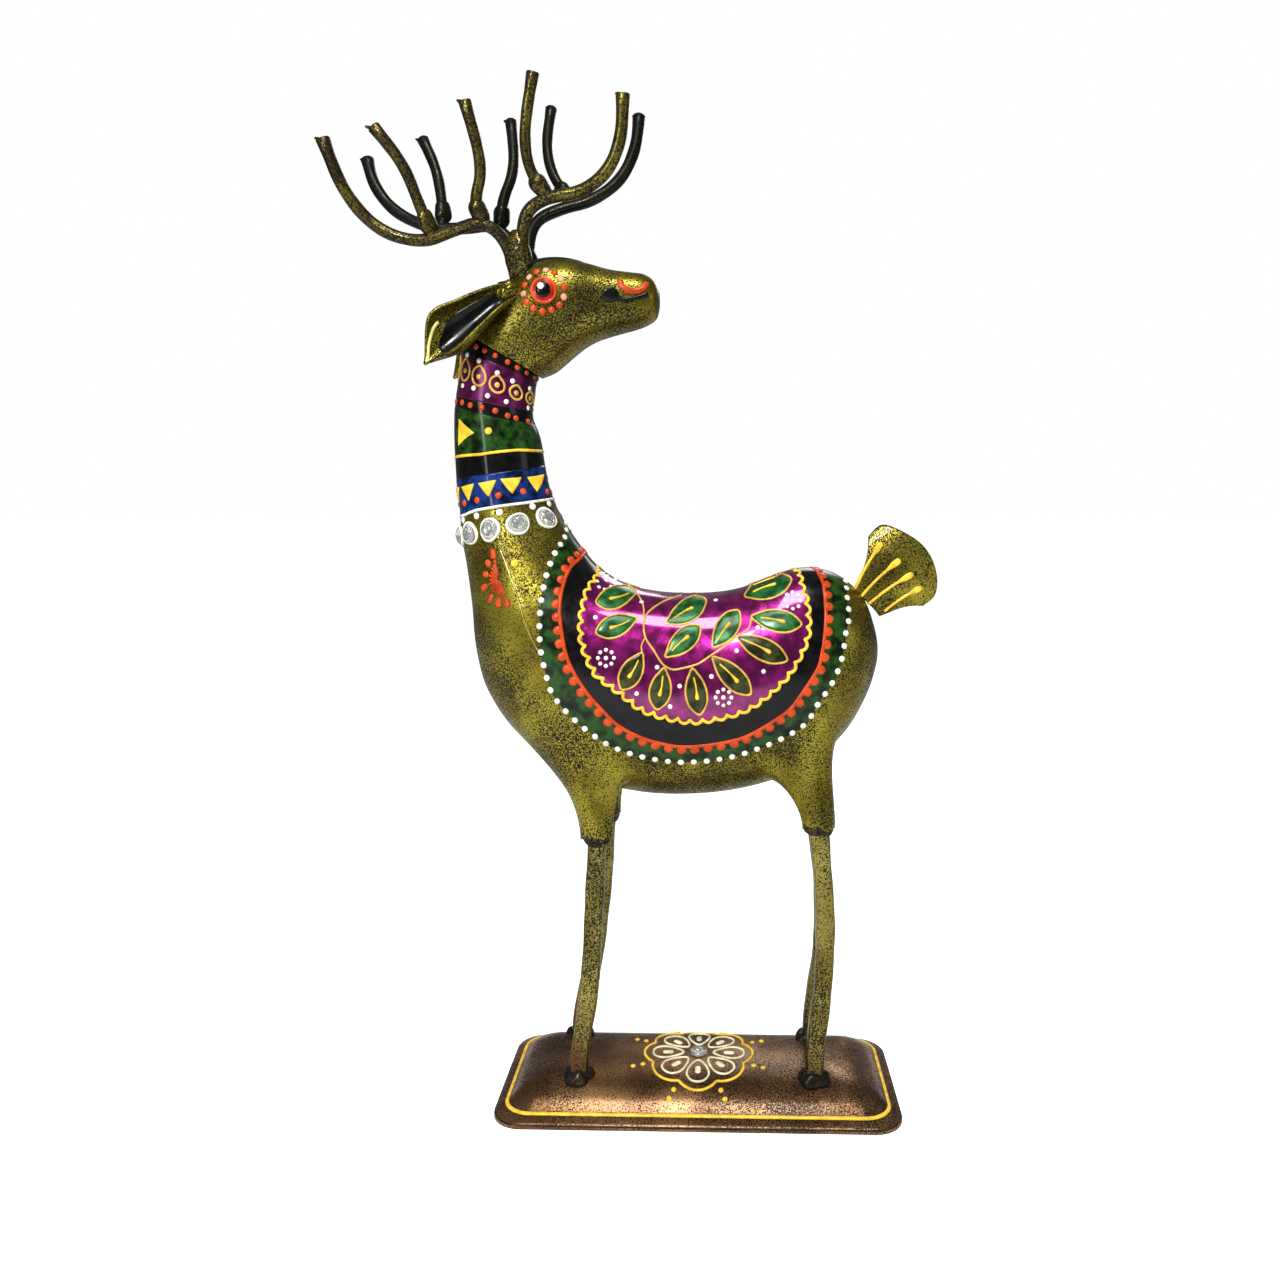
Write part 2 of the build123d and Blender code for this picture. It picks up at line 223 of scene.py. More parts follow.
def rounded_oblong(half_x, half_y, corner, steps):
    """Points round an oblong with quarter-circle corners, anticlockwise, evenly counted
    on each corner and on each side, so that rings of different size match up."""
    quarter = np.linspace(0, math.pi / 2, steps)
    centres = [(1, 1), (-1, 1), (-1, -1), (1, -1)]
    runs = []
    for number, (sx, sy) in enumerate(centres):
        angle = quarter + number * math.pi / 2
        middle = np.array([sx * (half_x - corner), sy * (half_y - corner)])
        arc = middle + corner * np.stack([np.cos(angle), np.sin(angle)], -1)
        nx, ny = centres[(number + 1) % 4]
        turn = (number + 1) * math.pi / 2
        onward = np.array([nx * (half_x - corner), ny * (half_y - corner)])
        onward = onward + corner * np.array([math.cos(turn), math.sin(turn)])
        side = arc[-1] + (onward - arc[-1]) * np.linspace(0, 1, steps * 2 + 1)[1:-1, None]
        runs += [arc, side]
    return np.concatenate(runs)


def tray_ring(inset, height):
    """One level line of the tray: the outline drawn in by inset, its corners tightening."""
    corner = max(base_corner - 0.33 * inset, 0.4)
    ring = rounded_oblong(base_half_length - inset, base_half_width - inset, corner, 14)
    return np.column_stack([ring, np.full(len(ring), height)])


tray_rows = np.stack([base_insets, base_heights], -1)
tray_rows = through(tray_rows, np.linspace(0, len(base_insets) - 1, 60))
tray_rows = np.maximum.accumulate(tray_rows, 0)
rings = np.array([tray_ring(*row) for row in tray_rows])
rings = np.concatenate([rings, rings[-1:] * [1, 0, 1]])
tray = [outward(rings, grid_faces(*rings.shape[:2], wrap_columns=True))]
new_piece("base_tray", tray, copper_paint, "base_plate", base_wall)

# ------------------------------------------------------------------ paint on the tray
# A dark line edges the rim and a yellow one runs a little inside it. In the middle eight
# cream petals ring a glued stone, inside a yellow scalloped ring, with yellow drops
# leading off between them.


def enamel(name, colour, roughness=0.3, metallic=0.0, variation=0.18, coat=0.08):
    """Thick hand-painted enamel: one colour that pools darker and lighter, slightly uneven."""
    mix = Recipe(name)
    pool = mix.noise(260.0, 2.0, 0.55)
    dark = tuple(c * (1 - variation) for c in colour)
    light = tuple(min(c * (1 + variation), 1.0) for c in colour)
    tone = mix.blend(mix.spread(pool, 0.35, 0.65), dark, light)
    rough = mix.spread(pool, 0.3, 0.7, roughness * 0.8, roughness * 1.25)
    mix.join(tone, mix.shader.inputs["Base Color"])
    mix.join(rough, mix.shader.inputs["Roughness"])
    mix.set(Metallic=metallic, Specular_IOR_Level=0.2, Coat_Weight=coat, Coat_Roughness=0.06)
    mix.bump(pool, 0.2, 0.0003)
    return mix.material


yellow = enamel("yellow enamel", (0.80, 0.50, 0.035))
cream = enamel("cream enamel", (0.78, 0.72, 0.48))
dark_brown = enamel("dark rim", (0.015, 0.009, 0.005), 0.35, variation=0.5)


def unit(vectors):
    """The vectors at length one."""
    return vectors / np.maximum(np.linalg.norm(vectors, axis=-1, keepdims=True), 1e-9)


def along(rows, count, closed=False):
    """Points on the smooth curve through rows, crowded towards its ends if it is open."""
    rows = np.asarray(rows, float)
    if closed:
        ring = np.concatenate([rows[-1:], rows, rows[:2]])
        return through(ring, 1 + np.linspace(0, len(rows), count, endpoint=False))
    return through(rows, (0.5 - 0.5 * np.cos(np.linspace(0, math.pi, count))) * (len(rows) - 1))


def stroke(path, normals, width, height=0.4, closed=False):
    """A raised line of enamel: across the path stands half an oval, width wide and height
    tall, its underside sunk in the paint below. Open ends close like a half circle."""
    ahead = np.roll(path, -1, 0) - np.roll(path, 1, 0) if closed else np.gradient(path, axis=0)
    across = unit(np.cross(normals, ahead))
    swell = np.ones(len(path))
    width = np.broadcast_to(np.asarray(width, float), len(path))
    if not closed:
        run = np.concatenate([[0], np.cumsum(np.linalg.norm(np.diff(path, axis=0), axis=-1))])
        near = np.clip(np.minimum(run, run[-1] - run) / (width / 2), 0, 1)
        swell = np.sqrt(1 - (1 - near) ** 2)
    angle = np.linspace(0, 2 * math.pi, 9)[:-1]
    rise = np.where(np.sin(angle) > 0, height, 0.2) * np.sin(angle)
    sideways = (width / 2 * swell)[:, None] * np.cos(angle)
    upwards = swell[:, None] * rise
    points = path[:, None] + across[:, None] * sideways[..., None]
    points = points + normals[:, None] * upwards[..., None]
    return outward(points, grid_faces(len(path), 8, closed, True))


def drops(centres, normals, radius, height=0.55):
    """Drops of enamel: each is six rings of ten about its normal, from a pole on top
    through a rim on the skin to a pole just under it."""
    normals = unit(np.asarray(normals, float))
    side = unit(np.cross(normals, [0.31, 0.87, 0.38]))
    other = np.cross(normals, side)
    angle = np.linspace(0, 2 * math.pi, 11)[:-1]
    spread = np.array([0.0, 0.6, 0.9, 1.0, 0.8, 0.0])[:, None]
    rise = np.array([1.0, 0.82, 0.4, 0.0, -0.4, -0.4])[:, None]
    radius = np.broadcast_to(np.asarray(radius, float), len(centres))[:, None, None, None]
    ring = side[:, None, None] * (spread * np.cos(angle))[..., None]
    ring = ring + other[:, None, None] * (spread * np.sin(angle))[..., None]
    points = np.asarray(centres)[:, None, None] + radius * ring
    points = points + normals[:, None, None] * (height * rise)[..., None]
    faces = grid_faces(6, 10, wrap_columns=True)
    faces = (faces[None] + 60 * np.arange(len(points))[:, None, None]).reshape(-1, 4)
    return outward(points, faces)


def tray_top(x, y):
    """Points of the tray's upper skin near its middle line, where it curves across only."""
    inset = base_half_width - np.abs(y)
    return np.stack([x, y, np.interp(inset, tray_rows[:, 0], tray_rows[:, 1])], -1)


def tray_normal(x, y):
    """Upward direction of the tray's skin, from its slope across."""
    slope = (tray_top(x, y + 0.5) - tray_top(x, y - 0.5))[..., 2]
    return unit(np.stack([0 * slope, -slope, 1 + 0 * slope], -1))


def tray_line(x, y, width, closed=True):
    """A raised line on the tray through points (x, y)."""
    spots = along(np.stack([x, y], -1), 24 * len(x) if closed else 30, closed)
    here = spots[:, 0], spots[:, 1]
    return stroke(tray_top(*here), tray_normal(*here), width, 0.45, closed)


rim = tray_ring(0.25, 0.85)
rim_line = stroke(rim, unit(rim * [0.02, 0.05, 0]), 1.5, 0.25, closed=True)
new_piece("tray_dark_rim", [rim_line], dark_brown)

border_inset = 3.9
border = tray_ring(border_inset, np.interp(border_inset, tray_rows[:, 0], tray_rows[:, 1]))
border_up = unit(border * [0.35 / base_half_length, 0.5 / base_half_width, 0] + [0, 0, 1])
lines = [stroke(border, border_up, 1.4, 0.4, closed=True)]

# The flower is a little longer than a circle both ways, and more across than along.
flower_x, flower_y = 1.03, 1.06
scallop = np.linspace(0, 2 * math.pi, 65)[:-1]
radius = 16.2 + 1.9 * np.abs(np.cos(4 * scallop))
x, y = radius * np.cos(scallop), radius * np.sin(scallop)
lines.append(tray_line(flower_x * x, flower_y * y, 1.0))
petal = np.array([(5.0, 0.0), (7.5, 2.3), (11.5, 3.6), (14.4, 2.4), (15.2, 0.0)])
petal = np.concatenate([petal, petal[-2:0:-1] * [1, -1]])
dab = np.array([8.6, 10.5, 12.4])
petals, spots = [], []
for number in range(8):
    angle = number * math.pi / 4
    cosine, sine = math.cos(angle), math.sin(angle)
    x, y = petal @ [cosine, -sine], petal @ [sine, cosine]
    petals.append(tray_line(flower_x * x, flower_y * y, 0.8))
    petals.append(tray_line(dab * cosine, dab * sine, 2.1, closed=False))
    notch = angle + math.pi / 8
    for reach_x, reach_y in ((20.3, 20.6), (23.8, 23.6)):
        spots.append((reach_x * math.cos(notch), reach_y * math.sin(notch)))
x, y = np.array(spots).T
lines.append(drops(tray_top(x, y), tray_normal(x, y), 0.95))
new_piece("tray_yellow_lines", lines, yellow)
new_piece("tray_petals", petals, cream)

# ------------------------------------------------------------------ body and neck
# The body and lower neck are two halves pressed from thin sheet and seamed down the
# middle; a rolled tube of the same sheet carries the neck up into the head. All of it
# is dabbed with gold over black.
gold_paint = sponged_paint(
    "sponged gold paint", (0.33, 0.285, 0.030), (0.19, 0.150, 0.012), (0.004, 0.003, 0.001), 0.492
)
sheet = 0.9
# Stations down the body: front or belly point, nape or back point (each x, z), half width.
body_stations = [
    (-77.4, 258.5, -52.6, 245.0, 11.6),
    (-77.6, 251.0, -54.0, 238.6, 11.8),
    (-78.8, 241.0, -55.0, 233.4, 12.0),
    (-80.2, 232.0, -54.9, 228.0, 12.3),
    (-80.6, 222.5, -52.6, 221.5, 12.6),
    (-80.2, 208.0, -50.5, 208.5, 13.2),
    (-79.2, 199.0, -48.6, 202.0, 14.0),
    (-78.9, 189.9, -46.0, 196.4, 15.0),
    (-77.2, 180.0, -40.5, 187.5, 17.0),
    (-75.6, 167.0, -33.2, 178.8, 19.4),
    (-74.4, 152.0, -24.0, 173.3, 21.5),
    (-70.5, 137.5, -14.0, 171.0, 22.8),
    (-60.0, 122.5, -4.0, 170.4, 23.4),
    (-42.0, 109.5, 6.0, 170.8, 23.5),
    (-20.0, 103.6, 14.5, 172.4, 23.2),
    (2.0, 103.2, 23.5, 175.8, 22.7),
    (21.0, 106.6, 33.0, 178.9, 21.8),
    (37.0, 113.5, 42.5, 178.2, 20.0),
    (48.5, 124.0, 50.0, 174.0, 16.5),
    (55.5, 136.0, 55.2, 168.0, 11.5),
    (58.9, 146.0, 58.5, 158.8, 5.2),
    (59.6, 152.2, 59.6, 152.6, 0.3),
]
neck_joint, neck_lap, last_station = 4.0, 0.04, 21.0


def skin_of(stations, flank):
    """A skin over ovals. At station u, turn 0 is the first point, pi the second and
    positive turns are on the -Y side: a point goes from the middle of the two along them
    by the cosine, and out sideways by half width times flank(turn, u). lift moves it off
    the skin along the normal, found from points a small step away."""

    def bare(u, turn):
        row = through(stations, u)
        first, second = row[..., 0:2], row[..., 2:4]
        spot = (first + second) / 2 + (first - second) / 2 * np.cos(turn)[..., None]
        out = -np.sign(np.sin(turn)) * row[..., 4] * flank(turn, u)
        return np.stack([spot[..., 0], out, spot[..., 1]], -1), (first + second) / 2

    def skin(u, turn, lift=0.0):
        u, turn = np.broadcast_arrays(np.asarray(u, float), np.asarray(turn, float))
        points, middle = bare(u, turn)
        if not np.any(lift):
            return points
        step = 0.004
        along_u = bare(u + step, turn)[0] - bare(u - step, turn)[0]
        along_turn = bare(u, turn + step)[0] - bare(u, turn - step)[0]
        normal = unit(np.cross(along_turn, along_u))
        away = points - np.stack([middle[..., 0], 0 * u, middle[..., 1]], -1)
        normal = normal * np.where(np.sum(normal * away, -1) < 0, -1, 1)[..., None]
        return points + normal * np.asarray(lift)[..., None]

    return skin


def flank(turn, u):
    """How far out the side stands, from 0 on the middle plane to 1: a sine a little
    fuller than an oval's, with a soft crease standing out down the neck and breast."""
    side = np.abs(np.sin(turn)) ** 0.92
    ridge = np.clip(1 - np.abs(np.abs(turn) - 1.46) / 0.6, 0, 1) ** 1.3
    fade = np.clip((11.5 - u) / 4.0, 0, 1) * np.clip((u - 1.5) / 3.0, 0, 1)
    return side * (1 + 0.07 * ridge * fade) - 0.03 * fade * side


body = skin_of(body_stations, flank)


def body_half(side):
    """One pressed half as a grid over stations and half a turn, its edges on the seam."""
    u = np.linspace(neck_joint, last_station, 150)[:, None]
    points = body(u, side * np.linspace(0, math.pi, 61)[None, :])
    points[:, [0, -1], 1] = 0.0
    return outward(points, grid_faces(*points.shape[:2]))


# Thighs are drawn down out of the same sheet: a hem ring round each leg, blended up into
# an oval on the body's skin. Oval: station, turn and their radii; hem: x, y, z and radii.
thigh_ovals = {"front": (12.55, 0.62, 1.25, 0.50), "rear": (16.9, 0.62, 1.0, 0.50)}
thigh_hems = {"front": (-33.2, 13.4, 91.5, 5.4, 5.1), "rear": (39.4, 13.4, 95.5, 5.4, 5.1)}


def thigh(which, side):
    """From the hem ring up to the oval on the skin, each line a cubic that leaves the hem
    upwards and arrives along the skin, away from the oval's middle."""
    u0, turn0, ru, rt = thigh_ovals[which]
    x, y, z, rx, ry = thigh_hems[which]
    around = np.linspace(0, 2 * math.pi, 73)[:-1]
    ring = body(u0 + ru * np.cos(around), turn0 + rt * np.sin(around), -0.05)
    beyond = body(u0 + 1.03 * ru * np.cos(around), turn0 + 1.03 * rt * np.sin(around), -0.05)
    out = unit(beyond - ring)
    heading = np.arctan2(*(ring - ring.mean(0)).T[1::-1])
    ragged = 0.5 * np.sin(3 * heading + 1) + 0.35 * np.sin(7 * heading)
    hem = np.stack([x + rx * np.cos(heading), -y + ry * np.sin(heading), z + ragged], -1)
    s = np.linspace(0, 1, 26)[:, None, None]
    run = np.linalg.norm(ring - hem, axis=-1)[None, :, None] * 0.9
    points = (
        (2 * s**3 - 3 * s**2 + 1) * hem
        + (s**3 - 2 * s**2 + s) * np.array([0.0, 0.05, 1.0]) * run
        + (3 * s**2 - 2 * s**3) * ring
        + (s**3 - s**2) * out * run
    )
    return outward(points * [1, side, 1], grid_faces(*points.shape[:2], wrap_columns=True))


for side, node in ((1, "body_shell_left"), (-1, "body_shell_right")):
    sheets = [body_half(side), thigh("front", side), thigh("rear", side)]
    new_piece(node.replace("shell", "half"), sheets, gold_paint, node, wall=sheet)

u = np.linspace(0.0, neck_joint + neck_lap, 40)[:, None]
points = body(u, np.linspace(-math.pi, math.pi, 97)[None, :-1], -0.02)
neck = [outward(points, grid_faces(*points.shape[:2], wrap_columns=True))]
new_piece("neck_tube", neck, gold_paint, "upper_neck", wall=sheet)

# ------------------------------------------------------------------ legs and welds
# Four lengths of square bar, slightly bowed and hammered, stand on the tray in lumps of
# blackened weld; more weld closes the thighs round them. The feet are rust brown.
leg_paint = sponged_paint(
    "leg gold paint", (0.32, 0.27, 0.065), (0.19, 0.15, 0.028), (0.008, 0.006, 0.001), 0.48,
    stain=(0.13, 0.065, 0.022), stain_top=0.026,
)
weld_metal = sponged_paint(
    "blackened weld", (0.06, 0.045, 0.025), (0.03, 0.02, 0.012), (0.006, 0.005, 0.004), 0.5, 700.0, 0.35
)
# Each bar from inside its thigh down to its foot, as (x, z).
leg_lines = {
    "front_left_leg": [
        (-32.6, 99.0), (-33.4, 82.0), (-34.6, 60.0), (-36.0, 38.0), (-39.2, 20.0), (-40.0, 6.5),
    ],
    "front_right_leg": [
        (-32.4, 99.0), (-33.0, 82.0), (-34.6, 62.0), (-37.0, 40.0), (-42.0, 22.0), (-43.2, 6.5),
    ],
    "rear_left_leg": [
        (39.0, 102.0), (40.3, 86.0), (42.0, 68.0), (41.8, 44.0), (39.0, 22.0), (38.6, 6.5),
    ],
    "rear_right_leg": [
        (39.0, 102.0), (41.0, 86.0), (43.4, 68.0), (43.8, 46.0), (40.6, 24.0), (39.2, 6.5),
    ],
}
leg_y, leg_half_width, leg_half_depth = 13.6, 3.2, 2.9


def cut_corners(rows, rounds=4):
    """A path with its corners cut again and again, each run keeping its middle half."""
    rows = np.asarray(rows, float)
    for _ in range(rounds):
        a, b = rows[:-1], rows[1:]
        inner = np.stack([0.75 * a + 0.25 * b, 0.25 * a + 0.75 * b], 1).reshape(-1, rows.shape[1])
        rows = np.concatenate([rows[:1], inner[1:-1], rows[-1:]])
    return rows


def bar(path, across, half_across, half_up, power=2.0, sides=28):
    """A bar along a path. Each section is |a|^power + |b|^power = 1, with a along across
    and b square to it; the ends are flat with a narrow rounded edge and close to a point
    in their middle."""
    ahead = unit(np.gradient(path, axis=0))
    size = np.broadcast_to(np.asarray(half_across, float), len(path))
    tuck = 0.2 * size[[0, -1], None] * ahead[[0, -1]] * [[1], [-1]]
    first, last = path[:1], path[-1:]
    path = np.concatenate([first, first, first + tuck[:1], path[1:-1], last + tuck[1:], last, last])
    ahead = np.concatenate([ahead[:1], ahead[:1], ahead, ahead[-1:], ahead[-1:]])
    scale = np.concatenate([[0, 0.82], np.ones(len(path) - 4), [0.82, 0]])[:, None, None]
    wide = np.concatenate([size[:1], size[:1], size, size[-1:], size[-1:]])[:, None, None]
    side = unit(across - ahead * np.sum(ahead * across, -1, keepdims=True))
    up = np.cross(ahead, side)
    angle = np.linspace(0, 2 * math.pi, sides + 1)[:-1]
    a = np.sign(np.cos(angle)) * np.abs(np.cos(angle)) ** (2 / power)
    b = np.sign(np.sin(angle)) * np.abs(np.sin(angle)) ** (2 / power)
    ratio = half_up / size.max()
    section = side[:, None] * a[:, None] + up[:, None] * ratio * b[:, None]
    points = path[:, None] + scale * wide * section
    return outward(points, grid_faces(*points.shape[:2], wrap_columns=True))


def mound(place, foot, top, rise, seed, squash=1.0):
    """A lump of weld: turned from a quarter oval, foot wide at its root and top wide above,
    its radius rippled by sines; closed at both ends."""
    s = np.concatenate([[0], np.linspace(0, math.pi / 2, 12), [math.pi / 2]])[:, None]
    around = np.linspace(0, 2 * math.pi, 41)[None, :-1]
    radius = top + (foot - top) * np.cos(s)
    ripple = 0.07 * np.sin(3 * around + seed) + 0.05 * np.sin(5 * around + 2 * seed + 2 * s)
    radius = radius * (1 + ripple)
    radius[[0, -1]] = 0.0
    z = rise * np.sin(s) * (1 + 0.08 * np.sin(4 * around + seed) * (radius > 0))
    points = np.stack([radius * np.cos(around), squash * radius * np.sin(around), z], -1) + place
    return outward(points, grid_faces(*points.shape[:2], wrap_columns=True))


foot_lumps, hem_lumps = [], []
for number, (name, line) in enumerate(leg_lines.items()):
    side = -1 if "left" in name else 1
    path = cut_corners([(x, side * leg_y, z) for x, z in line])
    z = path[:, 2]
    hammered = leg_half_depth * (1 + 0.03 * np.sin(z / 5.1 + number) + 0.02 * np.sin(z / 2.3))
    leg = [bar(path, np.array([0, 1.0, 0]), hammered, leg_half_width, 4.5)]
    new_piece(name.replace("leg", "bar"), leg, leg_paint, name)
    foot = tray_top(line[-1][0], side * leg_y)
    foot_lumps.append(mound(foot - [0, 0, 1.2], 5.4, 3.3, 3.7, number + 0.4))
    x, y, z, rx, ry = thigh_hems[name.split("_")[0]]
    hem_lumps.append(mound(np.array([x, side * y, z + 1.2]), 5.0, 3.2, -3.8, number + 2.0, ry / rx))
new_piece("foot_weld_lumps", foot_lumps, weld_metal, "foot_welds")
new_piece("hem_weld_lumps", hem_lumps, weld_metal, "hem_welds")

# ------------------------------------------------------------------ head
# The head is two pressed halves, wide at the brow and drawn down to a blunt muzzle. Its
# open end laps the neck along the jaw.
# Stations from muzzle to jaw: crown point, underside point (each x, z), half width.
head_stations = [
    (-12.8, 267.2, -12.8, 266.0, 0.2),
    (-13.1, 269.6, -12.9, 263.6, 3.4),
    (-14.7, 272.8, -13.9, 260.4, 6.2),
    (-17.8, 274.5, -16.4, 258.5, 7.9),
    (-22.5, 275.1, -19.9, 257.1, 9.0),
    (-29.0, 276.0, -24.4, 255.9, 10.0),
    (-36.0, 277.9, -29.2, 254.6, 11.2),
    (-43.0, 279.6, -33.4, 253.2, 12.5),
    (-49.5, 279.7, -37.4, 251.0, 13.4),
    (-54.8, 278.2, -40.8, 248.4, 13.9),
    (-60.2, 272.8, -44.0, 245.7, 13.9),
    (-67.5, 267.2, -46.8, 243.5, 13.6),
    (-73.6, 262.4, -49.4, 242.2, 12.8),
    (-77.4, 256.4, -51.8, 241.4, 12.1),
]


def cheek(turn, u):
    """The head's side: a full oval with the brow standing out and a shallow hollow running
    below it from the jaw to the muzzle."""
    side = np.abs(np.sin(turn)) ** 0.9
    turn = np.abs(turn)
    along_head = np.clip((u - 2.0) / 3.0, 0, 1) * np.clip((11.5 - u) / 3.0, 0, 1)
    brow = np.exp(-(((turn - 1.05) / 0.33) ** 2)) * np.exp(-(((u - 8.6) / 2.0) ** 2))
    hollow = np.exp(-(((turn - 1.75) / 0.3) ** 2))
    return side * (1 + 0.05 * brow - 0.075 * hollow * along_head)


head = skin_of(head_stations, cheek)
u = np.linspace(0, 13, 110)[:, None]
for side, node in ((-1, "head_shell_left"), (1, "head_shell_right")):
    points = head(u, side * np.linspace(0, math.pi, 61)[None, :])
    points[:, [0, -1], 1] = 0.0
    half = [outward(points, grid_faces(*points.shape[:2]))]
    new_piece(node.replace("shell", "half"), half, gold_paint, node, wall=sheet)

# ------------------------------------------------------------------ ears
# Each ear is a leaf of sheet rolled into a cup that opens outwards, its lower rim curled
# further over. The hollow is black, with a pale yellow line inside the rim at the tip,
# and a knot of metal joins the ear to the head.
ear_middle = [
    (-58.5, -8.5, 267.4), (-63.5, -12.0, 264.0), (-70.0, -13.6, 258.6),
    (-78.0, -15.2, 251.6), (-85.6, -18.4, 243.6),
]
ear_radius = [2.9, 4.0, 5.8, 7.2, 0.2]
black = enamel("black enamel", (0.003, 0.003, 0.003), 0.18, variation=0.5, coat=0.03)


def ear(a, b, lift=0.0):
    """The near ear: a runs from root to tip along the middle line, b from -1 at the lower
    rim to 1 at the upper. A point swings round the cup's centre by an angle, wider on
    the lower side; lift moves it into the hollow."""
    a, b = np.broadcast_arrays(np.asarray(a, float), np.asarray(b, float))
    spot = through(ear_middle, a * 4)
    radius = through(ear_radius, a * 4) * np.sqrt(np.clip(1.02 - a**9, 0, 1))
    swing = b * np.where(b > 0, 1.45, 1.9)
    upper, outer = np.array([-0.66, 0.0, 0.75]), np.array([-0.1, -0.97, 0.12])
    reach = (radius - np.asarray(lift))[..., None]
    return spot + radius[..., None] * outer + reach * (
        np.sin(swing)[..., None] * upper - np.cos(swing)[..., None] * outer
    )


def both(sheets):
    """The sheets and their mirror images across the middle plane."""
    return sheets + [(points * [1, -1, 1], faces[:, ::-1]) for points, faces in sheets]


def shell_patch(top, under):
    """A closed patch between two grids of points: top and under joined down both sides,
    and zipped together along a line half way between them at either end."""
    rows, columns = top.shape[:2]
    middle = (top + under) / 2
    top, under = (np.concatenate([middle[:1], grid, middle[-1:]]) for grid in (top, under))
    sheet_points = np.concatenate([top, under[:, ::-1]], 1)
    return outward(sheet_points, grid_faces(rows + 2, 2 * columns, wrap_columns=True))


a, b = np.linspace(0, 1, 60)[:, None], np.linspace(-1, 1, 41)[None, :]
leaf_sheet = shell_patch(ear(a, b, 0.35), ear(a, b, -0.45))
knot_place = np.array([-60.2, -8.0, 266.6])
knot_axes = np.array([[0.7, 0, 0.7], [0.5, -0.7, -0.5], [-0.35, -0.85, 0.35]])
knot, knot_faces = mound(0 * knot_place, 4.6, 2.0, 5.5, 1.0)
knot = outward(knot @ knot_axes + knot_place, knot_faces)
for side, node in ((1, "right_ear"), (-1, "left_ear")):
    sheets = [(points * [1, side, 1], faces[:, ::side]) for points, faces in (leaf_sheet, knot)]
    new_piece(node + "_leaf", sheets, gold_paint, node)

a, b = np.linspace(0.1, 0.84, 30)[:, None], np.linspace(-0.8, 0.52, 25)[None, :]
b = b * (1 - 0.75 * np.clip((a - 0.55) / 0.29, 0, 1) ** 2)
new_piece("ear_hollows", both([shell_patch(ear(a, b, 0.5), ear(a, b, 0.2))]), black)
rim = [(0.70, -0.86), (0.82, -0.82), (0.91, -0.7), (0.955, 0.0), (0.90, 0.62), (0.82, 0.66), (0.72, 0.6)]
rim = along(rim, 90)
path = ear(rim[:, 0], rim[:, 1], 0.4)
rim_normals = unit(ear(rim[:, 0], rim[:, 1], 1.4) - path)
pale = enamel("pale yellow enamel", (0.80, 0.72, 0.25))
new_piece("ear_rim_lines", both([stroke(path, rim_normals, 1.2, 0.45)]), pale)

# ------------------------------------------------------------------ antlers
# Each antler is two bent wires and three wire tines, joined by lumps of weld, one of them
# running down both wires to the head. The cut ends are flared and burred. The right
# antler is olive gold; the left is nearly black.
wire_gold = sponged_paint(
    "wire gold paint", (0.15, 0.125, 0.022), (0.085, 0.060, 0.014), (0.005, 0.004, 0.002),
    0.50, fleck_scale=1400.0,
)
wire_black = sponged_paint(
    "wire black paint", (0.030, 0.028, 0.012), (0.010, 0.010, 0.006), (0.003, 0.003, 0.002),
    0.54, fleck_scale=1400.0, gloss=0.25,
)
# Each wire from its root to its tip, as (x, z).
antler_lines = {
    "right": {
        "front_beam": [
            (-55.0, 272.0), (-56.4, 284.0), (-54.4, 292.6), (-46.6, 296.4),
            (-37.0, 297.2), (-28.0, 303.0), (-23.4, 313.0), (-22.8, 325.0),
        ],
        "rear_beam": [
            (-58.8, 272.0), (-60.6, 283.0), (-68.0, 289.6), (-78.4, 286.6),
            (-88.5, 283.0), (-102.0, 286.6), (-112.0, 298.0), (-116.8, 313.5),
        ],
        "front_tine": [(-46.6, 296.4), (-52.6, 303.0), (-54.0, 314.0), (-50.0, 331.0)],
        "middle_tine": [(-68.0, 289.6), (-70.8, 294.6), (-67.0, 305.0), (-71.6, 323.5)],
        "rear_tine": [(-84.6, 284.6), (-88.0, 294.0), (-92.0, 306.0), (-100.6, 316.6)],
    },
    "left": {
        "front_beam": [
            (-54.6, 272.0), (-57.6, 285.0), (-55.6, 294.6), (-47.0, 298.8),
            (-36.0, 301.4), (-26.4, 308.6), (-21.6, 320.0), (-20.8, 331.5),
        ],
        "rear_beam": [
            (-58.8, 272.0), (-61.0, 285.0), (-68.6, 293.6), (-80.0, 292.0),
            (-91.0, 292.4), (-103.0, 298.0), (-110.6, 307.6), (-113.2, 317.0),
        ],
        "front_tine": [(-42.0, 300.0), (-49.6, 309.5), (-52.4, 321.0), (-50.8, 334.6)],
        "middle_tine": [(-66.4, 292.4), (-66.8, 301.0), (-62.4, 313.0), (-64.6, 330.2)],
        "rear_tine": [(-86.0, 292.2), (-87.2, 304.0), (-89.6, 314.0), (-94.6, 324.0)],
    },
}
# The wires lean outwards: so far off the middle plane at the height of the crown, and so
# much more for each millimetre above it.
antler_foot_y, antler_foot_z, antler_lean = 6.0, 274.0, 0.24
beam_radius, tine_radius = 2.05, 1.85


def lump(middle, radii, seed, ahead=(0, 0, 1.0)):
    """An uneven ball of weld: an oval whose radius is rippled by sines, its long way ahead."""
    down = np.linspace(0, math.pi, 17)[:, None]
    around = np.linspace(0, 2 * math.pi, 25)[None, :-1]
    ripple = 0.08 * np.sin(3 * around + seed) + 0.05 * np.sin(5 * down + seed)
    ripple = 1 + np.sin(down) * ripple
    w = unit(np.asarray(ahead, float))
    u = unit(np.cross(w, [0, 1.0, 0]))
    v = np.cross(w, u)
    points = (
        (radii[0] * ripple * np.sin(down) * np.cos(around))[..., None] * u
        + (radii[1] * ripple * np.sin(down) * np.sin(around))[..., None] * v
        + (radii[2] * ripple * np.cos(down))[..., None] * w
    )
    return outward(points + middle, grid_faces(*points.shape[:2], wrap_columns=True))


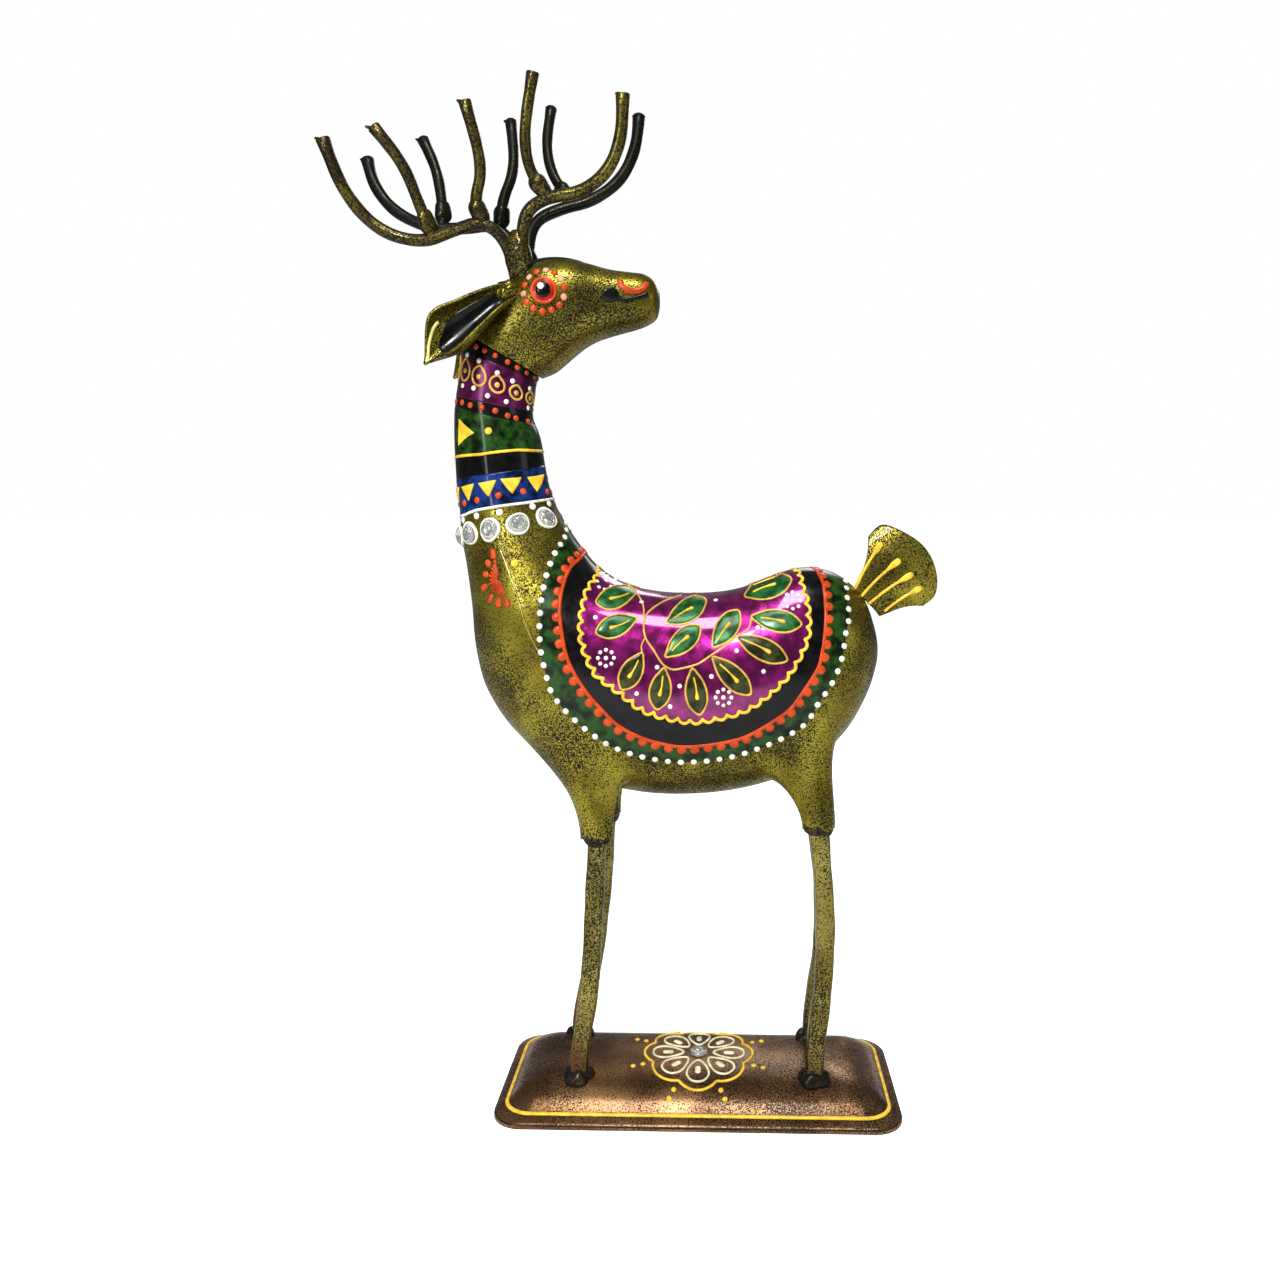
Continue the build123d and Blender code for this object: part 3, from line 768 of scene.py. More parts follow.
for hand, side, paint in (("right", -1, wire_gold), ("left", 1, wire_black)):
    lumps = []
    for number, (name, line) in enumerate(antler_lines[hand].items()):
        line = np.array(line)
        y = side * (antler_foot_y + antler_lean * (line[:, 1] - antler_foot_z))
        path = cut_corners(np.column_stack([line[:, 0], y, line[:, 1]]))
        left = np.linalg.norm(path - path[-1], axis=-1)
        radius = beam_radius if name.endswith("beam") else tine_radius
        swell = radius * (1 + 0.13 * np.exp(-left / 1.6) + 0.02 * np.sin(left / 1.7 + number))
        wire = [bar(path, np.array([0, 1.0, 0]), swell, radius * 1.1, sides=20)]
        if name != "front_tine":
            burr = path[-1] + np.array([-1.35, 0.0, -0.35])
            wire.append(lump(burr, (0.45, 1.2, 1.1), number, (-1.0, 0, 0.15)))
        new_piece(f"{hand}_antler_{name}_wire", wire, paint, f"{hand}_antler_{name}")
        if name.endswith("tine"):
            lumps.append(lump(path[2], (2.9, 2.6, 4.4), number, path[6] - path[0]))
    root = np.array([-57.2, side * 6.9, 277.6])
    lumps.append(lump(root, (4.3, 3.0, 9.6), 1.3, (-0.10, side * antler_lean, 1.0)))
    new_piece(f"{hand}_antler_lumps", lumps, paint, f"{hand}_antler_welds")

# ------------------------------------------------------------------ tail
# The tail is a fan cut from sheet and dished, welded to the top of the rump, with four
# yellow strokes like matchsticks up its near and far faces.
tail_root = [(51.0, 170.6), (53.4, 169.6), (55.8, 167.6), (58.0, 165.4), (60.0, 163.0)]
tail_edge = [
    (56.2, 189.4), (60.6, 193.3), (67.0, 191.2), (73.2, 187.0),
    (77.0, 181.6), (78.9, 175.0), (78.3, 169.4), (74.6, 166.2),
]
fan_radius = 34.0
# Strokes: root and tip, each (x, z).
tail_strokes = [
    (51.2, 171.2, 60.3, 187.5), (53.4, 169.4, 66.3, 181.9),
    (56.0, 167.0, 70.6, 177.3), (61.5, 164.6, 73.7, 172.7),
]


def fan(x, z, lift=0.0):
    """The fan's middle sheet: a shallow barrel whose axis lies along the fan."""
    across = (x - 52.0) * -0.57 + (z - 170.0) * 0.82
    y = fan_radius - 2.0 - np.sqrt(fan_radius**2 - across**2)
    return np.stack([x + 0 * y, y - lift, z + 0 * y], -1)


t = np.linspace(0, 1, 60)
root, edge = through(tail_root, t * 4)[:, None], through(tail_edge, t * 7)[:, None]
share = np.linspace(0, 1, 40)[None, :, None]
pinch = 1 - 0.10 * np.sin(math.pi * share) * np.abs(2 * t[:, None, None] - 1) ** 3
spots = root + (edge - root) * share
spots = spots.mean(0) + (spots - spots.mean(0)) * pinch
faces = [fan(spots[..., 0], spots[..., 1], half) for half in (0.5, -0.5)]
new_piece("tail_fan", [shell_patch(*faces)], gold_paint, "tail")
strokes = []
for x0, z0, x1, z1 in tail_strokes:
    s = 0.5 - 0.5 * np.cos(np.linspace(0, math.pi, 40))
    bow = 0.8 * np.sin(math.pi * s)
    x, z = x0 + (x1 - x0) * s - 0.5 * bow, z0 + (z1 - z0) * s + 0.5 * bow
    width = 1.0 + 1.3 * np.clip((s - 0.68) / 0.16, 0, 1) ** 1.5
    for face in (1, -1):
        path = fan(x, z, 0.5 * face)
        strokes.append(stroke(path, np.array([0, -1.0 * face, 0]) + 0 * path, width, 0.5))
new_piece("tail_strokes", strokes, yellow)

# ------------------------------------------------------------------ glued stones
# Ten clear domed stones ring the foot of the neck, each in a raised white ring, and one
# sits in the flower on the tray. Each has a grey foil behind it.
white = enamel("white enamel", (0.80, 0.80, 0.70))
foil = enamel("stone foil", (0.26, 0.26, 0.23), 0.3, 0.9, 0.4)
glass_mix = Recipe("clear stone")
facets = glass_mix.noise(260.0, 0.0, 0.4)
glass_mix.set(Base_Color=(0.93, 0.94, 0.92, 1.0), Roughness=0.04, IOR=1.5, Transmission_Weight=0.9)
glass_mix.bump(facets, 0.08, 0.0004)
stone_radius, stone_height = 3.0, 1.9
stone_station, stone_turns = 7.04, (15.5, 45, 75, 107, 143)


def turned(profile, place, normal):
    """A form turned about the normal at a place, from (radius, height) rows; the first
    and last rows lie on its axis."""
    side = unit(np.cross(normal, [0.31, 0.87, 0.38]))
    other = np.cross(normal, side)
    angle = np.linspace(0, 2 * math.pi, 49)[:-1]
    out = np.cos(angle)[:, None] * side + np.sin(angle)[:, None] * other
    profile = np.asarray(profile, float)
    points = place + profile[:, None, :1] * out + profile[:, None, 1:] * normal
    return outward(points, grid_faces(len(profile), 48, wrap_columns=True))


dome = np.linspace(0, math.pi / 2, 12)
dome = np.stack([stone_radius * np.sin(dome), 0.25 + (stone_height - 0.25) * np.cos(dome)], -1)
dome = np.concatenate([dome, [(stone_radius, 0.12), (0.0, 0.12)]])
disc = [(0.0, 0.1), (stone_radius - 0.15, 0.1), (stone_radius, 0.0)]
disc += [(stone_radius - 0.2, -0.3), (0.0, -0.3)]
seats = [("base_stone", tray_top(0.0, 0.0), np.array([0, 0, 1.0]))]
for number, turn in enumerate(np.radians(stone_turns)):
    place = body(stone_station, turn)
    normal = body(stone_station, turn, 1.0) - place
    for first, side in ((1, 1), (6, -1)):
        seats.append((f"collar_stone_{number + first}", place * [1, side, 1], normal * [1, side, 1]))
neck_radius = 15.0
foils, rings = [], []
for number, (node, place, normal) in enumerate(seats):
    new_piece(node + "_glass", [turned(dome, place, normal)], glass_mix.material, node)
    foils.append(turned(disc, place, normal))
    if number:
        a = np.linspace(0, 2 * math.pi, 49)[:-1]
        side = unit(np.cross(normal, [0, 0, 1.0]))
        other = np.cross(normal, side)
        wide = 3.35 + 0.18 * np.sin(2 * a + number) + 0.12 * np.sin(3 * a + 2 * number)
        path = place + wide[:, None] * (np.cos(a)[:, None] * side + np.sin(a)[:, None] * other)
        bend = wide**2 * np.cos(a) ** 2 / (2 * neck_radius)
        path = path - bend[:, None] * normal
        thick = 0.95 + 0.28 * np.sin(a + number)
        rings.append(stroke(path, normal + 0 * path, thick, 0.8, closed=True))
new_piece("stone_foils", foils, foil)
new_piece("stone_rings", rings, white)

# ------------------------------------------------------------------ neck bands
# From the jaw down: red drops on black; purple with gold rings and white drops; red drops
# on black; green with a yellow triangle; a yellow line; black; blue with yellow triangles
# and red drops; a white line with white drops under it. Both sides of the neck match.
red = enamel("red enamel", (0.50, 0.050, 0.006))
orange = enamel("orange red enamel", (0.48, 0.050, 0.007), variation=0.35)
purple = enamel("purple enamel", (0.075, 0.004, 0.045), 0.28, 0.4, 0.4)
green = enamel("green enamel", (0.008, 0.032, 0.004), 0.25, 0.1, 0.8)
blue = enamel("blue enamel", (0.004, 0.018, 0.095), 0.25, 0.2, 0.8)
gold_line = enamel("gold outline enamel", (0.62, 0.37, 0.06), 0.3, 0.2)


def wavy(knots, turn):
    """A station that changes round the neck through (station, turn) knots, alike both sides."""
    knots = np.asarray(knots, float)
    return np.interp(np.abs(turn), knots[:, 1], knots[:, 0])


def band(top, bottom, lift):
    """A closed skin round the neck between two wavy edges, raised by lift."""
    turn = np.linspace(-math.pi, math.pi, 145)[None, :-1]
    high, low = wavy(top, turn), wavy(bottom, turn)
    share = np.concatenate([np.linspace(0, 1, 30), np.linspace(1, 0, 30)])[:, None]
    rise = np.repeat([lift, -0.3], 30)[:, None]
    points = body(high + (low - high) * share, turn, rise)
    return outward(points, grid_faces(60, 144, True, True))


def line_on(skin, spots, width, height=0.4, closed=False, lift=0.0):
    """A raised line on a skin along (station, turn) spots, started lift above the skin."""
    path = skin(spots[:, 0], spots[:, 1], lift)
    normals = skin(spots[:, 0], spots[:, 1], lift + 1.0) - path
    return stroke(path, normals, width, height, closed)


def round_neck(knots, width, height):
    """A raised line all round the neck along a wavy station."""
    turn = np.linspace(-math.pi, math.pi, 145)[:-1]
    return line_on(body, np.stack([wavy(knots, turn), turn], -1), width, height, closed=True)


def skin_stroke(skin, rows, width, height=0.4, closed=False, count=60):
    """A raised line on a skin, on a smooth curve through (station, turn) rows."""
    return line_on(skin, along(rows, count, closed), width, height, closed)


def skin_drops(skin, rows, radius, height=0.55, lift=0.0):
    """Drops of enamel at (station, turn) rows, started lift above the skin."""
    rows = np.asarray(rows, float)
    centres = skin(rows[:, 0], rows[:, 1], lift)
    normals = skin(rows[:, 0], rows[:, 1], lift + 1.0) - centres
    return drops(centres, normals, radius, height)


def blot(skin, outline, height=0.4):
    """A filled patch on a skin: rings of the (station, turn) outline shrunk to its middle,
    highest there, dropping just under the skin at the rim and closed beneath."""
    outline = np.asarray(outline, float)
    middle = outline.mean(0)
    share = np.array([0, 0.3, 0.6, 0.82, 0.94, 1.0, 0.9, 0])[:, None, None]
    rise = np.array([1, 0.97, 0.9, 0.75, 0.45, 0, -0.5, -0.5])[:, None]
    spots = middle + share * (outline - middle)
    points = skin(spots[..., 0], spots[..., 1], height * rise)
    return outward(points, grid_faces(8, len(outline), wrap_columns=True))


# Edges of the bands, as (station, turn) from the front of the neck to its nape.
neck_top = [(0.1, 0.0), (0.1, 3.2)]
purple_top = [(1.25, 0.0), (1.19, 0.75), (0.95, 1.51), (0.86, 2.05), (0.77, 2.88), (0.77, 3.2)]
purple_foot = [(2.62, 0.0), (2.66, 0.75), (2.71, 1.47), (2.70, 2.21), (2.50, 2.99), (2.50, 3.2)]
green_top = [(3.0, 0.0), (3.05, 0.72), (3.15, 1.27), (3.31, 1.79), (3.35, 2.90), (3.35, 3.2)]
green_foot = [(4.50, 0.0), (4.48, 0.55), (4.45, 1.32), (4.38, 1.82), (4.34, 2.17), (4.33, 3.2)]
blue_top = [(5.0, 0.0), (4.97, 0.62), (4.90, 1.31), (4.80, 1.94), (4.66, 2.96), (4.66, 3.2)]
blue_foot = [(6.36, 0.0), (6.32, 0.63), (6.20, 1.04), (6.15, 1.59), (6.13, 2.09), (6.04, 2.99)]
blue_foot += [(6.04, 3.2)]
new_piece("neck_black_bands", [band(neck_top, blue_foot, 0.06)], black)
new_piece("neck_purple_band", [band(purple_top, purple_foot, 0.12)], purple)
new_piece("neck_green_band", [band(green_top, green_foot, 0.12)], green)
new_piece("neck_blue_band", [band(blue_top, blue_foot, 0.12)], blue)

# Triangles: three (station, turn) corners each, the first one on the green.
triangles = [
    [(3.45, 0.70), (4.28, 0.62), (3.95, 1.22)],
    [(5.22, 0.64), (5.13, 1.10), (5.83, 0.86)],
    [(5.13, 1.20), (5.04, 1.63), (5.72, 1.40)],
    [(5.01, 1.70), (4.96, 2.19), (5.66, 1.90)],
    [(4.96, 2.31), (4.87, 2.95), (5.60, 2.50)],
    [(5.22, 0.06), (5.22, 0.52), (5.83, 0.30)],
]
share = np.linspace(0, 1, 12, endpoint=False)[:, None]
marks = [skin_drops(body, [(3.87, 1.56)], 1.25)]
for rows in triangles:
    corners = np.array(rows)
    sides = [a + (b - a) * share for a, b in zip(corners, np.roll(corners, -1, 0))]
    outline = cut_corners(np.concatenate([*sides, corners[:1]]), 1)[:-1]
    marks.append(blot(body, outline, 0.55))
new_piece("neck_yellow_marks", [round_neck(green_foot, 1.0, 0.45)] + both(marks), yellow)

around = np.linspace(0, 2 * math.pi, 17)[:-1]
peak = np.exp(-(((around - math.pi) / 0.5) ** 2))
ring = np.stack([(0.34 + 0.07 * peak) * np.cos(around), (0.195 - 0.05 * peak) * np.sin(around)], -1)
rings = []
for spot in ((1.70, 0.28), (1.68, 0.78), (1.72, 1.28), (1.78, 1.79), (1.82, 2.33), (1.8, 2.88)):
    rings.append(skin_stroke(body, spot + ring, 0.85, 0.45, closed=True, count=80))
    rings.append(skin_drops(body, [spot], 0.95))
new_piece("neck_gold_rings", both(rings), gold_line)

# Rows of drops: their radius and their (station, turn) spots.
white_rows = [
    (0.9, [(1.16, 0.8), (1.16, 1.23), (1.28, 1.75), (1.31, 2.17), (1.26, 2.78)]),
    (0.9, [(2.21, 0.75), (2.21, 1.17), (2.38, 1.58), (2.43, 2.07), (2.43, 2.82)]),
    (1.15, [(6.5, 0.55), (6.43, 1.04), (6.43, 1.57), (6.36, 2.27), (6.31, 2.78)]),
]
red_rows = [
    (0.95, [(0.72, 0.8), (0.7, 1.1), (0.67, 1.36), (0.64, 1.64)]),
    (0.95, [(0.62, 1.97), (0.62, 2.24), (0.62, 2.55), (0.62, 2.9)]),
    (1.05, [(2.83, 0.45), (2.84, 0.82), (2.91, 1.12), (2.94, 1.45)]),
    (1.05, [(2.98, 1.79), (3.10, 2.10), (3.17, 2.32), (3.22, 2.73)]),
    (1.15, [(5.9, 0.2), (5.87, 0.67), (5.81, 1.10), (5.67, 1.61), (5.55, 2.15), (5.62, 2.88)]),
]
reds, whites = ([skin_drops(body, row, radius) for radius, row in rows] for rows in (red_rows, white_rows))
new_piece("neck_red_drops", both(reds), red)
new_piece("neck_white_marks", both(whites) + [round_neck(blue_foot, 0.95, 0.5)], white)

# ------------------------------------------------------------------ breast
# Under the stones a half sun of orange-red dabs opens down and forward on each side, a
# yellow drop beside it, and a bright gold line down the crease of the pressed sheet is a painted
# highlight.
breast_stations = (6.5, 11.0)


def straight_in(skin, x, z, stations, turns=(0.15, 3.0)):
    """Station and turn of the near-side point of a skin standing straight in from (x, z):
    the nearest of a coarse grid, then a few steps of Newton's rule."""
    x, z = np.broadcast_arrays(np.asarray(x, float), np.asarray(z, float))
    want = np.stack([x, z], -1).reshape(-1, 2)
    u, turn = np.meshgrid(np.linspace(*stations, 90), np.linspace(*turns, 60), indexing="ij")
    grid = skin(u, turn)[..., [0, 2]].reshape(-1, 2)
    nearest = np.argmin(((want[:, None] - grid[None]) ** 2).sum(-1), 1)
    spot = np.stack([u.ravel()[nearest], turn.ravel()[nearest]], -1)
    for _ in range(6):
        miss = want - skin(*spot.T)[:, [0, 2]]
        by_u, by_turn = (
            (skin(*(spot + small).T) - skin(*(spot - small).T))[:, [0, 2]] / 0.02
            for small in ([0.01, 0], [0, 0.01])
        )
        area = by_u[:, 0] * by_turn[:, 1] - by_u[:, 1] * by_turn[:, 0]
        area = np.where(np.abs(area) < 1.0, np.where(area < 0, -1.0, 1.0), area)
        step_u = (miss[:, 0] * by_turn[:, 1] - miss[:, 1] * by_turn[:, 0]) / area
        step_turn = (by_u[:, 0] * miss[:, 1] - by_u[:, 1] * miss[:, 0]) / area
        spot = spot + np.clip(np.stack([step_u, step_turn], -1), -0.15, 0.15)
    return spot.reshape(x.shape + (2,))


def flat_line(rows, width, height=0.5, closed=False, count=50, skin=body, stations=(8.0, 18.0)):
    """A raised line on the near side through (x, z) rows seen from straight beside it."""
    spots = straight_in(skin, *along(rows, count, closed).T, stations)
    return line_on(skin, spots, width, height, closed)


sun = np.array([-63.2, 176.5])
reaches = [(-2.6, 8.8), (-4.4, 5.2), (-5.5, 1.2), (-6.2, -3.6), (-3.8, -7.4), (-0.4, -8.6), (3.0, -8.6)]
reaches = np.array(reaches)
between = (reaches[1:] + reaches[:-1]) * 0.46
rays = []
for reach in reaches:
    dab = sun + np.linspace(0.70, 1.08, 4)[:, None] * reach
    rays.append(flat_line(dab, 2.2, 0.45, count=24, stations=breast_stations))
for reach in (*reaches, *between):
    ray = sun + np.linspace(0.12, 0.66, 4)[:, None] * reach
    rays.append(flat_line(ray, 0.8, 0.35, count=24, stations=breast_stations))
new_piece("breast_sun", both(rays), orange)
new_piece("breast_yellow_drops", both([skin_drops(body, [(8.22, 1.56)], 1.25)]), yellow)
# The crease line is a painted highlight: bright gold standing in for light on the ridge.
crease_highlight_gold = enamel("crease highlight gold", (0.62, 0.52, 0.17), 0.22, 0.9, 0.3)
crease = [(7.75, 1.40), (8.3, 1.42), (9.0, 1.43), (9.8, 1.40), (10.7, 1.37)]
new_piece("breast_crease_highlight", both([skin_stroke(body, crease, 0.55, 0.22)]), crease_highlight_gold)

# ------------------------------------------------------------------ saddle cloth
# A saddle is painted over the back, alike on both sides. From its rim inwards: white
# drops, a green band, a red line with drops along its outer edge, a black band, a yellow
# scalloped line, and a bright purple field with a branch of leaves.
# The lines of the white drops, the red line and the yellow line, as (station, turn).
rim_spots = [
    (7.36, 3.14), (7.71, 2.77), (8.13, 2.32), (8.58, 2.03), (9.14, 1.79), (9.83, 1.59),
    (10.49, 1.44), (11.19, 1.30), (11.73, 1.18), (12.31, 1.11), (12.79, 1.06), (13.26, 1.01),
    (13.9, 0.97), (14.5, 0.95), (15.1, 0.96), (15.7, 1.0), (16.22, 1.05), (16.69, 1.13),
    (16.95, 1.30), (17.32, 1.47), (17.58, 1.69), (17.71, 2.02), (17.83, 2.21), (17.76, 2.44),
    (17.74, 2.76), (17.72, 3.14),
]
red_spots = [
    (8.38, 3.14), (8.44, 2.9), (8.70, 2.39), (9.18, 2.08), (9.76, 1.86), (10.56, 1.68),
    (11.30, 1.53), (11.98, 1.42), (12.61, 1.32), (13.08, 1.24), (13.7, 1.17), (14.3, 1.13),
    (14.9, 1.14), (15.41, 1.17), (15.97, 1.27), (16.27, 1.34), (16.46, 1.44), (16.67, 1.56),
    (16.85, 1.68), (16.92, 1.83), (16.95, 2.02), (16.94, 2.19), (16.88, 2.41), (16.80, 2.64),
    (16.60, 2.92), (16.45, 3.14),
]
yellow_spots = [
    (8.9, 3.14), (9.04, 2.95), (9.49, 2.37), (10.04, 2.07), (10.58, 1.88), (11.05, 1.75),
    (11.59, 1.64), (11.98, 1.57), (12.35, 1.54), (12.72, 1.51), (13.21, 1.44), (13.57, 1.41),
    (13.91, 1.39), (14.33, 1.37), (14.89, 1.39), (15.26, 1.42), (15.54, 1.47), (15.83, 1.55),
    (16.13, 1.66), (16.31, 1.78), (16.43, 1.89), (16.50, 2.03), (16.45, 2.20), (16.36, 2.37),
    (16.17, 2.59), (16.03, 2.87), (15.78, 3.14),
]
magenta = enamel("bright purple enamel", (0.20, 0.005, 0.11), 0.2, 0.75, 0.35, 0.8)


def even(rows, count):
    """Points spread evenly by length on the body along a smooth line of (station, turn)."""
    fine = through(rows, np.linspace(0, len(rows) - 1, 2000))
    run = np.linalg.norm(np.diff(body(fine[:, 0], fine[:, 1]), axis=0), axis=-1)
    run = np.concatenate([[0], np.cumsum(run)])
    want = np.linspace(0, run[-1], count)
    return np.stack([np.interp(want, run, fine[:, 0]), np.interp(want, run, fine[:, 1])], -1)


def cloth(outer, inner, lift, across, count=240):
    """A closed skin between two lines of (station, turn), from ridge to ridge."""
    share = np.linspace(0, 1, across)[:, None, None]
    spots = even(outer, count)[None] * (1 - share) + inner[None] * share
    over, under = (body(spots[..., 0], spots[..., 1], h) for h in (lift, -0.3))
    return shell_patch(over, under)


red_line, yellow_line = even(red_spots, 240), even(yellow_spots, 240)
ridge_line = np.stack([np.linspace(8.9, 15.78, 240), np.full(240, math.pi)], -1)
new_piece("saddle_green_band", both([cloth(rim_spots, red_line, 0.06, 12)]), green)
new_piece("saddle_black_band", both([cloth(red_spots, yellow_line, 0.10, 12)]), black)
share = np.linspace(0, 1, 44)[:, None, None]
spots = yellow_line[None] * (1 - share) + ridge_line[None] * share
field = [body(spots[..., 0], spots[..., 1], h) for h in (0.14, -0.3)]
field = [np.concatenate([grid, (grid * [1, -1, 1])[-2::-1]]) for grid in field]
new_piece("saddle_purple_field", [shell_patch(*field)], magenta)

line = even(red_spots, 400)
reds = [skin_stroke(body, line, 1.3, 0.4, count=700)]
beads = even(red_spots, 47)
middle, mm_per_unit = np.array([13.2, 2.5]), np.array([7.0, 22.0])
out = beads - middle
beads = beads + out / np.linalg.norm(out * mm_per_unit, axis=-1, keepdims=True) * 0.8
reds.append(skin_drops(body, beads, 1.55, 0.5))
new_piece("saddle_red_edge", both(reds), red)
new_piece("saddle_white_drops", both([skin_drops(body, even(rim_spots, 52)[:-1], 1.05, 0.6)]), white)

# The scalloped line dips inwards in sharp teeth between rounded lobes.
line = even(yellow_spots, 1300)
lobes = 40
tooth = 1 - np.abs(np.sin(math.pi * lobes * np.linspace(0, 1, len(line)))) ** 0.75
inward = middle - line
inward = inward / np.linalg.norm(inward * mm_per_unit, axis=-1, keepdims=True)
line = line + inward * (0.95 * tooth - 0.2)[:, None]
new_piece("saddle_yellow_scallops", both([line_on(body, line, 1.15, 0.45)]), yellow)

# Leaves: pointed end and round end, each (x, z). The first seven are the bright ones.
leaves = [
    (-20.3, 171.3, -32.4, 168.9), (-19.3, 163.8, -31.9, 159.6), (-10.0, 162.2, 2.5, 168.9),
    (-10.0, 152.1, 0.8, 161.4), (4.9, 155.0, 13.1, 166.0), (15.1, 170.3, 30.2, 175.9),
    (17.1, 164.3, 32.9, 162.1), (-17.3, 153.3, -23.7, 141.9), (-10.4, 148.6, -12.6, 135.6),
    (-1.5, 148.5, 0.8, 133.9), (4.9, 152.0, 16.8, 140.4), (12.4, 158.3, 28.3, 151.0),
]
bright_leaves, leaf_half_width = 7, 3.35
leaf_green = enamel("leaf green enamel", (0.012, 0.085, 0.020), 0.25, 0.2, 0.5)
dark_green = enamel("dark leaf enamel", (0.030, 0.034, 0.010), 0.25, 0.2, 0.6)
along_leaf = np.array([0.0, 0.12, 0.3, 0.52, 0.74, 0.9, 1.0])
half_leaf = np.array([0.0, 0.40, 0.80, 1.0, 0.90, 0.52, 0.0])


def on_back(x, z):
    """Station and turn of the body's near side at (x, z)."""
    return straight_in(body, x, z, (8.0, 18.0))


outlines, bright_fills, dark_fills, hearts = [], [], [], []
for number, (x0, z0, x1, z1) in enumerate(leaves):
    start, ahead = np.array([x0, z0]), np.array([x1 - x0, z1 - z0])
    beside = np.array([-ahead[1], ahead[0]]) / np.linalg.norm(ahead) * leaf_half_width
    near = start + along_leaf[:, None] * ahead + half_leaf[:, None] * beside
    far = start + along_leaf[:, None] * ahead - half_leaf[:, None] * beside
    edge = np.concatenate([near, far[-2:0:-1]])
    outlines.append(flat_line(edge, 0.75, 0.5, closed=True, count=90))
    rows = along(edge, 60, closed=True)
    fills = bright_fills if number < bright_leaves else dark_fills
    fills.append(blot(body, on_back(*rows.T), 0.32))
    s = 0.5 - 0.5 * np.cos(np.linspace(0, math.pi, 40))
    bow = 0.07 * np.sin(math.pi * s)[:, None] * beside
    rows = start + (0.18 + 0.5 * s[:, None]) * ahead + bow
    thick = 0.55 + 0.85 * np.clip((s - 0.6) / 0.3, 0, 1)
    hearts.append(line_on(body, on_back(*rows.T), thick, 0.5, lift=0.25))
stem = [
    (-5.6, 170.1), (-11.2, 168.5), (-15.8, 165.5), (-17.0, 162.0), (-16.4, 158.0),
    (-13.6, 153.9), (-10.8, 149.8), (-7.8, 148.2), (-4.9, 148.5), (0.2, 149.9),
    (4.5, 152.6), (8.6, 155.3), (12.4, 158.3),
]
twigs = [
    [(17.1, 164.3), (16.2, 160.8), (12.4, 158.3)],
    [(-16.4, 158.0), (-17.6, 155.6), (-17.3, 153.3)],
    [(-7.4, 156.6), (-9.2, 154.0), (-10.0, 152.1)],
    [(-17.0, 162.0), (-17.6, 167.5), (-20.3, 171.3)],
]
outlines.append(flat_line(stem, 0.8, 0.45, count=160))
for rows in twigs:
    outlines.append(flat_line(rows, 0.6, 0.4))
new_piece("leaf_outlines", both(outlines), gold_line)
new_piece("leaf_bright_fills", both(bright_fills), leaf_green)
new_piece("leaf_dark_fills", both(dark_fills), dark_green)
new_piece("leaf_hearts", both(hearts), yellow)

# White specks lie between the leaves, and four blossoms are eight specks round one.
specks = [
    (-18.2, 168.5), (-32.3, 164.3), (5.7, 168.9), (19.1, 161.1), (12.4, 154.0), (20.9, 147.6),
    (-12.6, 148.9), (-5.5, 143.0), (-19.0, 140.6), (-8.5, 136.5), (4.5, 146.0),
]
blossoms = np.array([(-30.2, 175.1), (-28.7, 151.8), (30.3, 169.4), (8.3, 139.4)])
around = np.linspace(0, 2 * math.pi, 9)[:-1]
ring = blossoms[:, None] + 2.5 * np.stack([np.cos(around), np.sin(around)], -1)
ring = ring.reshape(-1, 2)
size = np.repeat([0.8, 0.75, 0.7], [len(specks), len(blossoms), len(ring)])
specks = on_back(*np.concatenate([specks, blossoms, ring]).T)
new_piece("saddle_white_specks", both([skin_drops(body, specks, size, 0.5)]), white)

# ------------------------------------------------------------------ face paint
# Each side of the head has a round eye in a ring of orange and pink drops, a black
# nostril and mouth line, an orange-red swirl on the muzzle, and black on the crown is painted shade.
pink = enamel("pink enamel", (0.75, 0.30, 0.20), variation=0.25)
dark_red = enamel("eye red enamel", (0.30, 0.018, 0.004), 0.22, variation=0.3)
eye, head_span = np.array([-48.6, 267.1]), (1.0, 12.5)
around = np.linspace(0, 2 * math.pi, 49)[:-1]
circle = np.stack([np.cos(around), np.sin(around)], -1)


def on_head(x, z):
    """Station and turn of the head's near side at (x, z)."""
    return straight_in(head, x, z, head_span)


def head_disc(middle, radius_x, radius_z, height):
    """A low round or oval button of enamel on the head's near side."""
    return blot(head, on_head(*(middle + circle * [radius_x, radius_z]).T), height)


new_piece("eye_rings", both([head_disc(eye, 4.3, 4.3, 0.55)]), dark_red)
iris = on_head(*along(eye + circle[::4] * 3.75, 90, closed=True).T)
bright_ring = line_on(head, iris, 1.0, 0.45, closed=True, lift=0.2)
new_piece("eye_bright_rings", both([bright_ring]), red)
mouth = [(-27.5, 265.4), (-23.0, 264.9), (-18.6, 265.9), (-16.0, 267.0)]
blacks = [
    head_disc(eye + [-0.1, 0.1], 2.55, 2.7, 0.95),
    head_disc(np.array([-27.9, 266.4]), 2.7, 2.5, 0.5),
    flat_line(mouth, 1.4, 0.4, skin=head, stations=head_span),
]
new_piece("face_blacks", both(blacks), black)
glint = skin_drops(head, on_head([-49.4], [268.2]), 1.15, 0.6, lift=0.75)
new_piece("eye_glints", both([glint]), white)

# The painted shade on the crown, in black, widens backwards from between the eyes and ends rounded.
crown_start, crown_end, crown_turn = 6.2, 9.7, 0.78
station = np.linspace(crown_start, crown_end, 50)[:, None]
widen = ((station - crown_start) / (crown_end - crown_start)) ** 0.5
narrow = np.clip((crown_end + 0.05 - station) / 0.4, 0.05, 1) ** 0.5
turn = crown_turn * widen * narrow * np.linspace(-1, 1, 31)
crown = shell_patch(head(station, turn, 0.12), head(station, turn, -0.3))
new_piece("crown_painted_shade", [crown], black)

